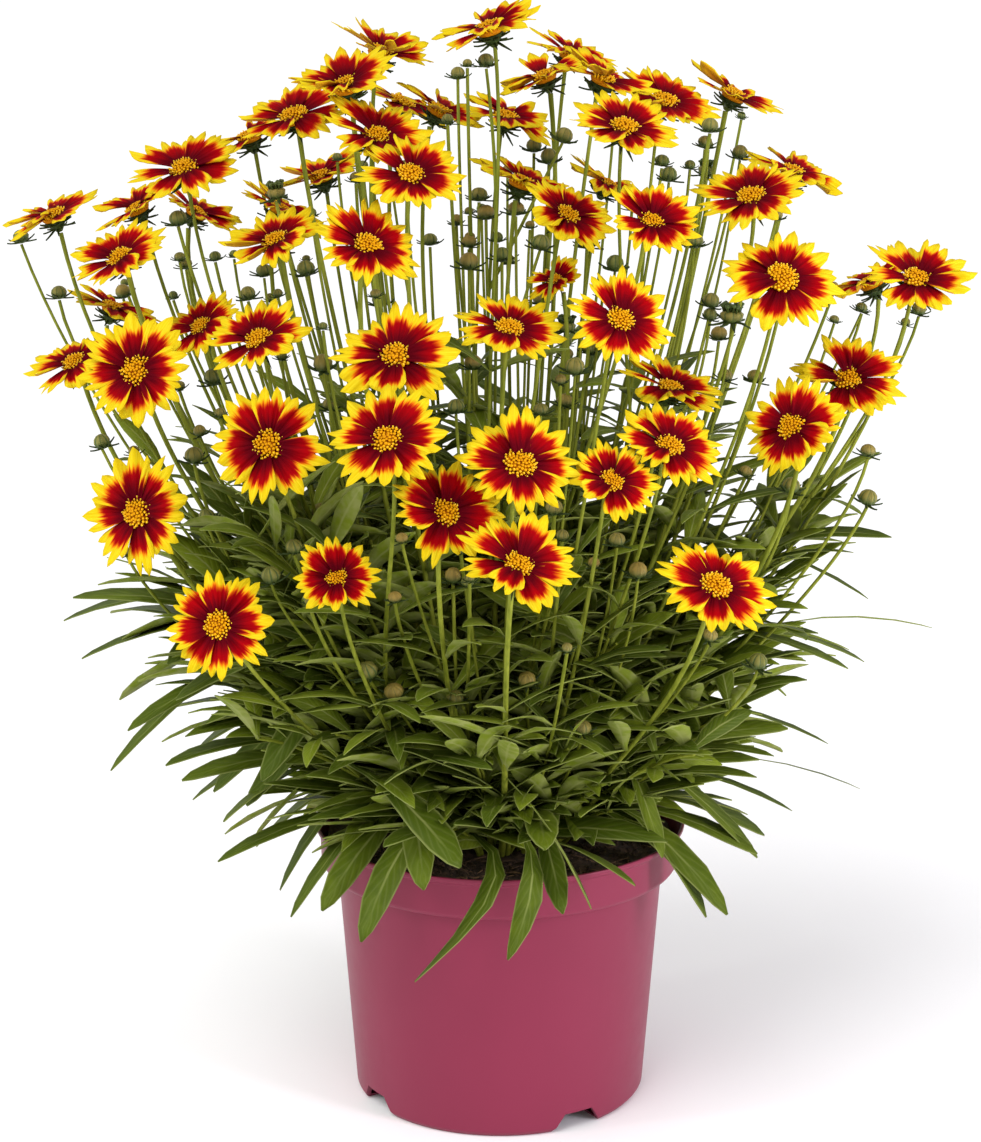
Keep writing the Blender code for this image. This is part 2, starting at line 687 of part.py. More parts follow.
def build_pot(collection, cutters):
    step = POT_HEIGHT - COLLAR_HEIGHT
    profile = [
        (RIM_RADIUS - WALL, POT_HEIGHT),
        (RIM_RADIUS - 0.0004, POT_HEIGHT),
        (RIM_RADIUS, POT_HEIGHT - 0.0010),
        (COLLAR_RADIUS, step + 0.0022),
        (COLLAR_RADIUS - 0.0014, step),
        (WALL_TOP_RADIUS + 0.0008, step - 0.0006),
        (WALL_TOP_RADIUS, step - 0.0020),
        (BASE_RADIUS, 0.0026),
        (BASE_RADIUS - 0.0022, 0.0),
        (0.0, 0.0),
        (0.0, WALL),
        (BASE_RADIUS - 0.0030, WALL),
        (WALL_TOP_RADIUS - WALL, step + 0.0004),
        (COLLAR_RADIUS - WALL - 0.0006, step + 0.0022),
        (RIM_RADIUS - WALL, POT_HEIGHT),
    ]
    pot = turned("pot", profile, POT_STEPS, collection, material("pot_pink"))
    for number in range(NOTCH_COUNT):
        turn = NOTCH_TURN + number * math.pi / 2
        shape = bmesh.new()
        inside = BASE_RADIUS - NOTCH_DEPTH
        corners = []
        for reach in (inside, BASE_RADIUS + 0.006):
            corners.append([
                shape.verts.new((-NOTCH_BASE / 2, -reach, -0.004)),
                shape.verts.new((NOTCH_BASE / 2, -reach, -0.004)),
                shape.verts.new((NOTCH_ROOF / 2, -reach, NOTCH_HEIGHT)),
                shape.verts.new((-NOTCH_ROOF / 2, -reach, NOTCH_HEIGHT)),
            ])
        near, far = corners
        shape.faces.new(near)
        shape.faces.new(far)
        for i in range(4):
            j = (i + 1) % 4
            shape.faces.new((near[i], near[j], far[j], far[i]))
        bmesh.ops.recalc_face_normals(shape, faces=shape.faces)
        mesh = bpy.data.meshes.new(f"notch_cutter_{number + 1}")
        shape.to_mesh(mesh)
        shape.free()
        cutter = add_mesh(mesh.name, mesh, cutters, None)
        cutter.rotation_euler = (0, 0, turn)
        cutter.hide_render = True
        cutter.display_type = "WIRE"
        cut = pot.modifiers.new(f"notch_{number + 1}", "BOOLEAN")
        cut.operation = "DIFFERENCE"
        cut.object = cutter
    return pot


def build_soil(collection):
    step = POT_HEIGHT - COLLAR_HEIGHT
    hole = CROWN_RADIUS + 0.0010
    floor = SOIL_TOP - CROWN_DEPTH - GAP
    widest = WALL_TOP_RADIUS - WALL - 0.0008
    profile = [
        (hole, SOIL_TOP + 0.0005),
        (0.068, SOIL_TOP + 0.0015),
        (COLLAR_RADIUS - WALL - 0.0018, SOIL_TOP - 0.0010),
        (COLLAR_RADIUS - WALL - 0.0028, step + 0.0040),
        (widest, step),
        (BASE_RADIUS - 0.0030, 0.024),
        (BASE_RADIUS - 0.0220, WALL + GAP),
        (0.0, WALL + GAP),
        (0.0, floor),
        (hole, floor),
        (hole, SOIL_TOP + 0.0005),
    ]
    return turned("soil", profile, SOIL_STEPS, collection, material("peat"))


def build_plant(collection, frames):
    look = material("leaf_green")
    pieces = new_collection("plant_pieces")
    stems = [stem_path(bloom, frames) for bloom in range(len(frames))]
    for number, (stem, frame) in enumerate(zip(stems, frames)):
        centre, normal, radius = frame
        points = [bezier(*stem, share) for share in STEM_SHARES]
        points.append(centre - normal * (0.055 * radius + 0.0004))
        cup = CUP_RADIUS * radius / (BLOOM_SPAN / 2)
        radii = [STEM_FOOT_RADIUS, STEM_RADIUS, STEM_RADIUS, STEM_RADIUS, STEM_RADIUS, cup]
        stalk(f"stem_{number + 1:02d}", points, radii, pieces)
    for number, (root, centre, radius) in enumerate(bud_stalks(stems, frames)):
        lean = (centre - root).normalized()
        aim = (lean + UP).normalized()
        points = [root, centre - aim * radius * 1.6, centre, centre + aim * radius]
        radii = [STEM_RADIUS * 0.6, STEM_RADIUS * 0.6, radius, radius * 0.25]
        stalk(f"bud_{number + 1:02d}", points, radii, pieces)
    bpy.context.view_layer.update()
    leaves = chosen_leaves(stems, frames, pieces)
    for number, leaf in enumerate(leaves):
        blade(f"leaf_{number + 1:03d}", leaf, pieces)
    print("leaves", len(leaves), "pieces", len(pieces.objects))

    body = bmesh.new()
    bmesh.ops.create_cone(
        body, cap_ends=True, segments=14,
        radius1=CROWN_RADIUS - 0.004, radius2=CROWN_RADIUS, depth=CROWN_DEPTH,
    )
    bmesh.ops.translate(body, verts=body.verts, vec=(0, 0, SOIL_TOP - CROWN_DEPTH / 2))
    bmesh.ops.poke(body, faces=[f for f in body.faces if f.normal.z > 0.9], offset=0.004)
    mesh = bpy.data.meshes.new("plant")
    body.to_mesh(mesh)
    body.free()
    plant = add_mesh("plant", mesh, collection, look)
    joined(plant, pieces, "MANIFOLD")
    plant.data.materials.clear()
    plant.data.materials.append(look)
    return plant


def build_blooms(collection, frames):
    look = material("petal_red")
    for number, frame in enumerate(frames):
        corolla(f"bloom_{number + 1:02d}", number, frame, collection, look)


def main():
    clear_scene()
    parts = new_collection(OBJECT_NAME)
    cutters = new_collection("cutters")
    frames = bloom_frames()
    build_pot(parts, cutters)
    build_soil(parts)
    build_plant(parts, frames)
    build_blooms(parts, frames)


main()
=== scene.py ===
import math
import random

import bmesh
import bpy
from mathutils import Euler, Matrix, Vector, noise


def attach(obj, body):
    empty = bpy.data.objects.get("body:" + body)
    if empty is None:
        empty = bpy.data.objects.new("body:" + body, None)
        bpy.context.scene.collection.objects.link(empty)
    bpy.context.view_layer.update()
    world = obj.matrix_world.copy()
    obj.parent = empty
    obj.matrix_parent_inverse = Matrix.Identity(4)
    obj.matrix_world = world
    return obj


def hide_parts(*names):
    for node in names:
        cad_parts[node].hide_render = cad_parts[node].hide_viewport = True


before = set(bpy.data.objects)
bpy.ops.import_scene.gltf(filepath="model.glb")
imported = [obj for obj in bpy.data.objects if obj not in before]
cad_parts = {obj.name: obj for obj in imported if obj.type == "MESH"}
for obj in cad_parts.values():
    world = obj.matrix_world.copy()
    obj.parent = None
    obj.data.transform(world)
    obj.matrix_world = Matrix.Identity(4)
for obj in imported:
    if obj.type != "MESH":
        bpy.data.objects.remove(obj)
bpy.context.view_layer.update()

up = Vector((0, 0, 1))

# where the photograph was taken from, and what a pixel of it means
camera = {
    "place": Vector((-0.0048, -1.371, 0.616)),
    "down": math.radians(14),
    "focalPixels": 2808.0,
    "middlePixel": (490.5, 571.0),
    "imageHeight": 1142,
}
forward = Vector((0, math.cos(camera["down"]), -math.sin(camera["down"])))
seenUp = Vector((0, math.sin(camera["down"]), math.cos(camera["down"])))

# blooms: disc pixel, seen width and height in pixels, leaning side,
# metres behind the pot's axis and span in metres
blooms = [
    dict(disc=(490, 30), seen=(110, 45), side=-1, back=-0.01, span=0.056),
    dict(disc=(347, 87), seen=(113, 60), side=-1, back=-0.01, span=0.057),
    dict(disc=(380, 54), seen=(100, 38), side=1, back=0.07, span=0.055),
    dict(disc=(294, 118), seen=(108, 58), side=-1, back=0.01, span=0.056),
    dict(disc=(250, 138), seen=(98, 36), side=-1, back=0.08, span=0.055),
    dict(disc=(185, 171), seen=(116, 68), side=-1, back=0.01, span=0.058),
    dict(disc=(376, 138), seen=(113, 64), side=1, back=-0.03, span=0.056),
    dict(disc=(412, 177), seen=(114, 75), side=1, back=-0.06, span=0.055),
    dict(disc=(322, 178), seen=(96, 30), side=-1, back=0.13, span=0.055),
    dict(disc=(402, 104), seen=(80, 46), side=1, back=0.12, span=0.052),
    dict(disc=(438, 112), seen=(78, 50), side=1, back=0.07, span=0.052),
    dict(disc=(506, 119), seen=(96, 44), side=1, back=0.06, span=0.053),
    dict(disc=(521, 184), seen=(100, 38), side=1, back=0.015, span=0.054),
    dict(disc=(603, 81), seen=(98, 40), side=1, back=0.02, span=0.055),
    dict(disc=(570, 56), seen=(92, 26), side=1, back=0.15, span=0.054),
    dict(disc=(545, 78), seen=(94, 40), side=-1, back=0.11, span=0.054),
    dict(disc=(624, 130), seen=(118, 64), side=1, back=-0.03, span=0.057),
    dict(disc=(664, 103), seen=(104, 60), side=1, back=0.04, span=0.056),
    dict(disc=(733, 96), seen=(88, 34), side=1, back=0.07, span=0.054),
    dict(disc=(566, 217), seen=(92, 68), side=1, back=-0.03, span=0.050),
    dict(disc=(606, 186), seen=(80, 40), side=1, back=0.06, span=0.050),
    dict(disc=(651, 224), seen=(98, 74), side=1, back=-0.06, span=0.050),
    dict(disc=(752, 199), seen=(118, 66), side=-1, back=-0.03, span=0.057),
    dict(disc=(792, 174), seen=(96, 50), side=1, back=0.06, span=0.055),
    dict(disc=(781, 280), seen=(124, 104), side=1, back=-0.07, span=0.059),
    dict(disc=(917, 281), seen=(114, 70), side=1, back=-0.02, span=0.058),
    dict(disc=(872, 284), seen=(90, 40), side=-1, back=0.04, span=0.054),
    dict(disc=(276, 243), seen=(101, 63), side=-1, back=-0.03, span=0.053),
    dict(disc=(367, 248), seen=(110, 93), side=1, back=-0.08, span=0.055),
    dict(disc=(280, 211), seen=(76, 30), side=1, back=0.05, span=0.050),
    dict(disc=(54, 217), seen=(94, 42), side=-1, back=0.00, span=0.051),
    dict(disc=(138, 210), seen=(84, 40), side=-1, back=0.07, span=0.051),
    dict(disc=(196, 214), seen=(70, 30), side=1, back=0.11, span=0.050),
    dict(disc=(121, 260), seen=(96, 72), side=-1, back=-0.03, span=0.052),
    dict(disc=(113, 310), seen=(88, 42), side=1, back=0.05, span=0.051),
    dict(disc=(75, 364), seen=(88, 60), side=-1, back=-0.04, span=0.049),
    dict(disc=(137, 371), seen=(115, 117), side=-1, back=-0.07, span=0.056),
    dict(disc=(202, 328), seen=(76, 66), side=-1, back=-0.025, span=0.044),
    dict(disc=(259, 341), seen=(104, 74), side=-1, back=-0.075, span=0.052),
    dict(disc=(396, 359), seen=(130, 98), side=-1, back=-0.11, span=0.060),
    dict(disc=(509, 331), seen=(114, 66), side=1, back=-0.09, span=0.054),
    dict(disc=(619, 321), seen=(102, 97), side=1, back=-0.09, span=0.052),
    dict(disc=(556, 281), seen=(52, 46), side=-1, back=-0.01, span=0.030),
    dict(disc=(670, 390), seen=(104, 48), side=1, back=-0.05, span=0.053),
    dict(disc=(668, 448), seen=(108, 80), side=1, back=-0.12, span=0.052),
    dict(disc=(611, 482), seen=(92, 82), side=1, back=-0.14, span=0.044),
    dict(disc=(519, 466), seen=(124, 107), side=1, back=-0.15, span=0.057),
    dict(disc=(388, 441), seen=(122, 107), side=-1, back=-0.16, span=0.056),
    dict(disc=(269, 446), seen=(121, 120), side=-1, back=-0.12, span=0.057),
    dict(disc=(444, 514), seen=(116, 104), side=1, back=-0.16, span=0.054),
    dict(disc=(518, 567), seen=(119, 90), side=1, back=-0.19, span=0.055),
    dict(disc=(793, 428), seen=(96, 105), side=-1, back=-0.08, span=0.052),
    dict(disc=(848, 381), seen=(115, 82), side=1, back=-0.04, span=0.056),
    dict(disc=(139, 512), seen=(94, 122), side=-1, back=-0.09, span=0.058),
    dict(disc=(220, 626), seen=(108, 115), side=-1, back=-0.14, span=0.053),
    dict(disc=(337, 579), seen=(89, 84), side=-1, back=-0.15, span=0.040),
    dict(disc=(715, 588), seen=(118, 96), side=1, back=-0.15, span=0.056),
]

# buds: metres behind the pot's axis, then their pixels
buds = {
    0.06: [(352, 106), (534, 146), (564, 136), (486, 213), (740, 153),
           (705, 142), (479, 195), (662, 161), (587, 242), (264, 271), (123, 292)],
    0.03: [(549, 157), (516, 209), (469, 242), (502, 255), (306, 269), (669, 175),
           (710, 126), (694, 241), (615, 264), (21, 237), (719, 334), (59, 293)],
    0.00: [(486, 61), (541, 243), (469, 262), (248, 294), (178, 219), (711, 301), (919, 309),
           (725, 376), (755, 377), (213, 378), (473, 363), (565, 401), (330, 405)],
    -0.05: [(868, 451), (791, 486), (868, 498), (102, 442), (194, 456), (323, 364),
            (456, 407), (575, 367), (321, 512), (207, 517)],
    -0.10: [(554, 508), (617, 540), (638, 571), (453, 576), (271, 576), (294, 547),
            (368, 671), (394, 692), (527, 680), (455, 698), (583, 728), (758, 662)],
    0.10: [(430, 240), (540, 300), (640, 300), (380, 300)],
}
witheredHeads = [
    dict(pixel=(707, 168), back=0.09),
    dict(pixel=(276, 190), back=0.03),
    dict(pixel=(732, 313), back=-0.02),
    dict(pixel=(566, 324), back=0.02),
]

# leaves of the outline and over the rim: tip pixel, metres behind the axis, length, width
leafTips = [
    dict(pixel=(73, 598), back=-0.02, length=0.115, width=0.010),
    dict(pixel=(64, 621), back=0.01, length=0.120, width=0.011),
    dict(pixel=(82, 659), back=-0.03, length=0.110, width=0.011),
    dict(pixel=(148, 658), back=-0.06, length=0.095, width=0.010),
    dict(pixel=(111, 613), back=0.04, length=0.100, width=0.013),
    dict(pixel=(120, 700), back=0.00, length=0.105, width=0.011),
    dict(pixel=(128, 731), back=-0.05, length=0.100, width=0.009),
    dict(pixel=(111, 771), back=-0.02, length=0.110, width=0.009),
    dict(pixel=(166, 766), back=-0.07, length=0.100, width=0.011),
    dict(pixel=(193, 800), back=0.02, length=0.095, width=0.010),
    dict(pixel=(218, 862), back=-0.06, length=0.110, width=0.009),
    dict(pixel=(98, 585), back=-0.05, length=0.105, width=0.010),
    dict(pixel=(122, 640), back=-0.03, length=0.105, width=0.012),
    dict(pixel=(138, 682), back=-0.08, length=0.095, width=0.011),
    dict(pixel=(146, 716), back=0.03, length=0.105, width=0.012),
    dict(pixel=(162, 742), back=-0.02, length=0.100, width=0.011),
    dict(pixel=(176, 700), back=-0.05, length=0.095, width=0.012),
    dict(pixel=(182, 781), back=-0.04, length=0.105, width=0.012),
    dict(pixel=(196, 752), back=0.05, length=0.095, width=0.012),
    dict(pixel=(206, 724), back=-0.07, length=0.090, width=0.011),
    dict(pixel=(214, 792), back=-0.01, length=0.100, width=0.013),
    dict(pixel=(224, 822), back=-0.07, length=0.100, width=0.012),
    dict(pixel=(232, 764), back=0.00, length=0.095, width=0.012),
    dict(pixel=(247, 806), back=-0.05, length=0.090, width=0.013),
    dict(pixel=(255, 838), back=-0.03, length=0.095, width=0.012),
    dict(pixel=(262, 781), back=-0.09, length=0.085, width=0.012),
    dict(pixel=(168, 664), back=-0.02, length=0.095, width=0.012),
    dict(pixel=(786, 696), back=-0.03, length=0.100, width=0.011),
    dict(pixel=(806, 640), back=-0.06, length=0.090, width=0.012),
    dict(pixel=(868, 599), back=-0.02, length=0.115, width=0.009, slim=0.55),
    dict(pixel=(932, 628), back=0.00, length=0.125, width=0.009, slim=0.45),
    dict(pixel=(849, 650), back=-0.05, length=0.100, width=0.010, slim=0.6),
    dict(pixel=(864, 662), back=0.03, length=0.105, width=0.011, slim=0.6),
    dict(pixel=(848, 669), back=-0.03, length=0.100, width=0.013, slim=0.65),
    dict(pixel=(828, 744), back=0.00, length=0.110, width=0.010, slim=0.5),
    dict(pixel=(788, 729), back=-0.07, length=0.095, width=0.010),
    dict(pixel=(860, 789), back=-0.03, length=0.120, width=0.009, slim=0.4),
    dict(pixel=(782, 752), back=0.04, length=0.095, width=0.013),
    dict(pixel=(792, 811), back=0.01, length=0.105, width=0.010, slim=0.5),
    dict(pixel=(757, 858), back=-0.04, length=0.100, width=0.010),
    dict(pixel=(727, 915), back=-0.07, length=0.110, width=0.012),
    dict(pixel=(415, 982), back=-0.125, length=0.105, width=0.010, over=(575, 838)),
    dict(pixel=(361, 942), back=-0.110, length=0.085, width=0.016, slim=0.75),
    dict(pixel=(322, 911), back=-0.090, length=0.090, width=0.015, slim=0.8),
    dict(pixel=(508, 960), back=-0.125, length=0.075, width=0.014, over=(560, 850), slim=0.72),
    dict(pixel=(460, 868), back=-0.120, length=0.080, width=0.015),
    dict(pixel=(424, 890), back=-0.115, length=0.080, width=0.013),
    dict(pixel=(563, 914), back=-0.120, length=0.080, width=0.010),
    dict(pixel=(591, 909), back=-0.120, length=0.075, width=0.009),
    dict(pixel=(662, 858), back=-0.090, length=0.085, width=0.010),
    dict(pixel=(635, 886), back=-0.105, length=0.080, width=0.009),
    dict(pixel=(545, 850), back=-0.130, length=0.085, width=0.013),
    dict(pixel=(312, 853), back=-0.060, length=0.085, width=0.011),
    dict(pixel=(384, 847), back=-0.110, length=0.075, width=0.013),
]

# sizes shared with the solids, metres
pot = {
    "height": 0.144,
    "rimRadius": 0.095,
    "collarHeight": 0.022,
    "collarRadius": 0.0918,
    "wallTop": 0.0835,
    "baseRadius": 0.0747,
    "wall": 0.0018,
    "steps": 144,
    "notchTurn": math.radians(-58),
    "notchBase": 0.034,
    "notchRoof": 0.016,
    "notchHeight": 0.0095,
    "notchDepth": 0.020,
    "notches": 4,
    "edgeRadius": 0.0009,
    "rimBand": 0.010,
}
soil = {
    "top": 0.136,
    "crownRadius": 0.046,
    "crumbs": 1200,
    "crumbSize": (0.0006, 0.0019),
    "crumbTilt": 3.1,
    "fibres": 260,
    "fibreSize": (0.0030, 0.0085),
    "fibreTilt": 0.35,
    "steps": 160,
    "seed": 4,
}
growth = {
    "petals": 8,
    "discShare": 0.25,
    "cupLength": 0.0085,
    "budRadius": 0.0052,
    "headRadius": 0.0078,
    "stemShares": (0.0, 0.30, 0.56, 0.80, 1.0),
    "rimLeaves": 16,
    "youngStems": 90,
    "sideLean": 0.8,
    "mostTilt": 0.985,
    "bloomHalf": 0.006,
    "footInset": 0.007,
    "footShare": 0.165,
    "lowBend": 0.34,
}
goldenTurn = 2.39996

# how stems of blooms and of buds look for a free way: a pair is a start and what each try adds
bloomStemRule = {
    "tries": 160, "spread": (0.004, 0.0002), "sway": (0.008, 0.0004), "least": 0.35, "sunk": 0.004}
budStemRule = {"tries": 30, "spread": (0.010, 0.0008), "sway": (0.012, 0.0010), "least": 0.30, "sunk": 0.002}
stemLeafRule = {"until": 0.62, "length": 0.100, "lengthLoss": 0.085, "width": 0.0125, "widthLoss": 0.010}


def placeAt(pixel, back):
    across = (pixel[0] - camera["middlePixel"][0]) / camera["focalPixels"]
    down = (pixel[1] - camera["middlePixel"][1]) / camera["focalPixels"]
    ray = forward + Vector((1, 0, 0)) * across - seenUp * down
    return camera["place"] + ray * ((back - camera["place"].y) / ray.y)


def bloomFacing(row, centre):
    # how a bloom faces follows from how narrow and low its round outline looks
    full = row["span"] * camera["focalPixels"] / (centre - camera["place"]).dot(forward)
    narrow = min(1.0, row["seen"][0] / full)
    low = min(1.0, row["seen"][1] / full)
    sideways = growth["sideLean"] * row["side"] * math.sqrt(1 - narrow**2)
    upward = math.sqrt(1 - low**2)
    reach = math.hypot(sideways, upward)
    most = growth["mostTilt"]
    if reach > most:
        sideways *= most / reach
        upward *= most / reach
    view = (camera["place"] - centre).normalized()
    aside = up.cross(view).normalized()
    above = view.cross(aside)
    ahead = math.sqrt(1 - sideways**2 - upward**2)
    return (view * ahead + aside * sideways + above * upward).normalized()


def bloomFrames():
    frames = []
    for row in blooms:
        centre = placeAt(row["disc"], row["back"])
        frames.append((centre, bloomFacing(row, centre), row["span"] / 2))
    return frames


def petalOf(bloom, number):
    draw = random.Random(1000 * bloom + number)
    turn = 2 * math.pi * (number + draw.uniform(-0.10, 0.10)) / growth["petals"]
    return turn + 0.7 * bloom, draw.uniform(0.93, 1.0), draw.uniform(-0.035, 0.075)


def meetsBloom(point, frames, own, room):
    for number, (centre, normal, radius) in enumerate(frames):
        if number in own:
            continue
        offset = point - centre
        height = offset.dot(normal)
        if abs(height) < growth["bloomHalf"] + room and (offset - normal * height).length < radius + room:
            return True
    return False


def meetsPot(point, room):
    radius = math.hypot(point.x, point.y)
    if point.z > pot["height"] + room or radius > pot["rimRadius"] + room:
        return False
    return radius > pot["rimRadius"] - pot["rimBand"] - room or point.z < soil["top"] + room


def bezier(a, b, c, d, t):
    s = 1 - t
    return a * s**3 + b * (3 * s * s * t) + c * (3 * s * t * t) + d * t**3


def onStem(stem, share):
    shares = growth["stemShares"]
    for start, end in zip(shares, shares[1:]):
        if share <= end:
            near = bezier(*stem, start)
            return near.lerp(bezier(*stem, end), (share - start) / (end - start))
    return stem[3]


def stemStart(end, draw, rule, attempt):
    # foot in the crown, rise, level chord and lower bend; each try strays further
    spread = rule["spread"][0] + rule["spread"][1] * attempt
    sway = rule["sway"][0] + rule["sway"][1] * attempt
    reach = soil["crownRadius"] - growth["footInset"]
    foot = Vector((growth["footShare"] * end.x, growth["footShare"] * end.y, 0))
    foot += Vector((draw.uniform(-spread, spread), draw.uniform(-spread, spread), 0))
    if foot.length > reach:
        foot *= reach / foot.length
    foot.z = soil["top"] - rule["sunk"]
    rise = end.z - foot.z
    chord = end - foot
    chord.z = 0
    low = foot + chord * draw.uniform(rule["least"], 0.5) + up * rise * growth["lowBend"]
    low += Vector((draw.uniform(-sway, sway), draw.uniform(-sway, sway), 0))
    return foot, rise, chord, low


def stemPath(bloom, frames):
    # the way to a bloom that meets the fewest other blooms
    centre, normal, radius = frames[bloom]
    neck = centre - normal * growth["cupLength"]
    best = None
    for attempt in range(bloomStemRule["tries"]):
        draw = random.Random(1000 * bloom + attempt)
        foot, rise, chord, low = stemStart(neck, draw, bloomStemRule, attempt)
        high = neck - (up * 0.75 + normal * 0.35) * rise * draw.uniform(0.2, 0.3) - chord * 0.04
        stem = (foot, low, high, neck)
        met = 0
        for step in range(40):
            own = (bloom,) if step > 32 else ()
            met += meetsBloom(bezier(*stem, step / 40), frames, own, 0.003)
            met += meetsBloom(onStem(stem, step / 40), frames, own, 0.002)
        if best is None or met < best[0]:
            best = (met, stem)
        if met == 0:
            break
    return best[1]


def leafAt(root, bend, tip, width, roll, t):
    centre = root * (1 - t) ** 2 + bend * (2 * t * (1 - t)) + tip * t**2
    along = ((bend - root) * (1 - t) + (tip - bend) * t).normalized()
    aside = along.cross(up).normalized()
    normal = aside.cross(along)
    aside = aside * math.cos(roll) + normal * math.sin(roll)
    share = 0.22 + 0.78 * math.sin(math.pi * min(1.0, 0.08 + 0.92 * t)) ** 0.9
    return centre, aside * (width / 2 * share)


def leafClear(leaf, frames):
    for step in range(1, 37):
        centre, half = leafAt(*leaf, min(step / 36, 0.999))
        for side in (-1, 0, 1):
            point = centre + half * side
            if meetsBloom(point, frames, (), 0.0025):
                return False
            if step > 4 and meetsPot(point, 0.003):
                return False
            if point.z < 0.02:
                return False
    return True


def nearestRoot(tip, length, stems, lowest):
    best = None
    for number, stem in enumerate(stems):
        for step in range(1, 15):
            share = 0.02 + step * 0.03
            point = bezier(*stem, share)
            if point.z < lowest:
                continue
            miss = abs((tip - point).length - length)
            miss += 0.5 * max(0.0, (0.02 + tip.z - 0.5 * length) - point.z)
            miss += 0.4 * max(0.0, point.z - tip.z - 0.06)
            if best is None or miss < best[0]:
                best = (miss, number, share)
    return best[1:]


def rimTips():
    tips = []
    for number in range(growth["rimLeaves"]):
        draw = random.Random(300 + number)
        turn = math.radians(55 + 250 * (number + draw.uniform(-0.3, 0.3)) / (growth["rimLeaves"] - 1))
        reach = draw.uniform(0.112, 0.142)
        tip = Vector((reach * math.sin(turn), -reach * math.cos(turn), draw.uniform(0.115, 0.165)))
        tips.append((tip, draw.uniform(0.085, 0.100), draw.uniform(0.010, 0.013)))
    return tips


def outlineLeaves(stems, frames):
    leaves = []
    tips = [(placeAt(row["pixel"], row["back"]), row["length"], row["width"]) for row in leafTips]
    slim = [row.get("slim", 1.0) for row in leafTips] + [0.85] * growth["rimLeaves"]
    over = [row.get("over") for row in leafTips] + [None] * growth["rimLeaves"]
    for number, (tip, length, width) in enumerate(tips + rimTips()):
        draw = random.Random(500 + number)
        stem, share = nearestRoot(tip, length, stems, soil["top"] + 0.012)
        root = onStem(stems[stem], share)
        for attempt in range(30):
            arch = 0.18 + 0.03 * attempt
            bend = root.lerp(tip, 0.5) + up * (tip - root).length * arch
            if over[number] and attempt < 15:
                bend = placeAt(over[number], 0.9 * tip.y) + up * 0.002 * attempt
            roll = draw.uniform(-0.5, 0.5)
            if leafClear((root, bend, tip, width, roll), frames):
                leaves.append((bezier(*stems[stem], share), bend, tip, width * slim[number], roll))
                break
    return leaves


def archFrom(root, flat, climb, droop, length):
    # bend and tip of a blade that climbs out of its stem and then droops
    bend = root + (flat * 0.75 + up * climb).normalized() * length * 0.5
    tip = bend + (flat + up * (climb * 0.5 + droop)).normalized() * length * 0.5
    return bend, tip


def stemLeaves(stems, frames):
    # opposite pairs up the lower part of every stem
    rule = stemLeafRule
    leaves = []
    for number, stem in enumerate(stems):
        draw = random.Random(9000 + number)
        heading = draw.uniform(0, 2 * math.pi)
        share = draw.uniform(0.05, 0.10)
        while share < rule["until"]:
            root = onStem(stem, share)
            size = draw.uniform(0.85, 1.1) * (rule["length"] - rule["lengthLoss"] * share)
            width = draw.uniform(0.85, 1.15) * (rule["width"] - rule["widthLoss"] * share)
            for side in (0, 1):
                turn = heading + math.pi * side + draw.uniform(-0.3, 0.3)
                flat = Vector((math.cos(turn), math.sin(turn), 0))
                outward = Vector((root.x, root.y, 0)) * 6
                flat = (flat + outward).normalized()
                climb = draw.uniform(0.25, 0.75)
                droop = draw.uniform(-0.45, 0.10)
                roll = draw.uniform(-0.5, 0.5)
                bend, tip = archFrom(root, flat, climb, droop, size)
                if leafClear((root, bend, tip, width, roll), frames):
                    leaves.append((bezier(*stem, share), bend, tip, width, roll))
            heading += math.pi / 2 + draw.uniform(-0.3, 0.3)
            share += draw.uniform(0.07, 0.11)
    return leaves


def stalkRoot(centre, radius, stems, frames):
    best = None
    for stem in stems:
        for step in range(12, 39):
            point = onStem(stem, step / 40)
            drop = centre.z - point.z
            aside = math.hypot(centre.x - point.x, centre.y - point.y)
            if drop < 0.03 or drop > 0.16 or aside > 0.6 * drop:
                continue
            cost = 2 * aside + abs(drop - 0.075)
            if best is not None and cost > best[0]:
                continue
            run = [point.lerp(centre, k / 40) for k in range(41)] + [centre + up * radius]
            if not any(meetsBloom(p, frames, (), 0.3 * radius) for p in run):
                best = (cost, bezier(*stem, step / 40))
    return best and best[1]


def budStem(number, centre, radius, frames):
    # a bud's own stem from the crown; nothing comes back when blooms leave it no room
    end = centre - up * radius * 0.7
    for attempt in range(budStemRule["tries"]):
        draw = random.Random(20000 + 100 * number + attempt)
        foot, rise, chord, low = stemStart(end, draw, budStemRule, attempt)
        high = end - up * rise * draw.uniform(0.2, 0.3) - chord * draw.uniform(0.04, 0.20)
        stem = (foot, low, high, end)
        if not any(meetsBloom(bezier(*stem, k / 40), frames, (), 0.002) for k in range(41)):
            return stem
    return None


def branchStem(centre, radius, stems, frames):
    root = stalkRoot(centre, radius, stems, frames)
    if not root:
        return None
    aim = ((centre - root).normalized() + up).normalized()
    end = centre - aim * radius * 0.7
    middle = root.lerp(end, 0.5) + (end - root).cross(up).normalized() * 0.03 * (end - root).length
    return root, root.lerp(middle, 2 / 3), end.lerp(middle, 2 / 3), end


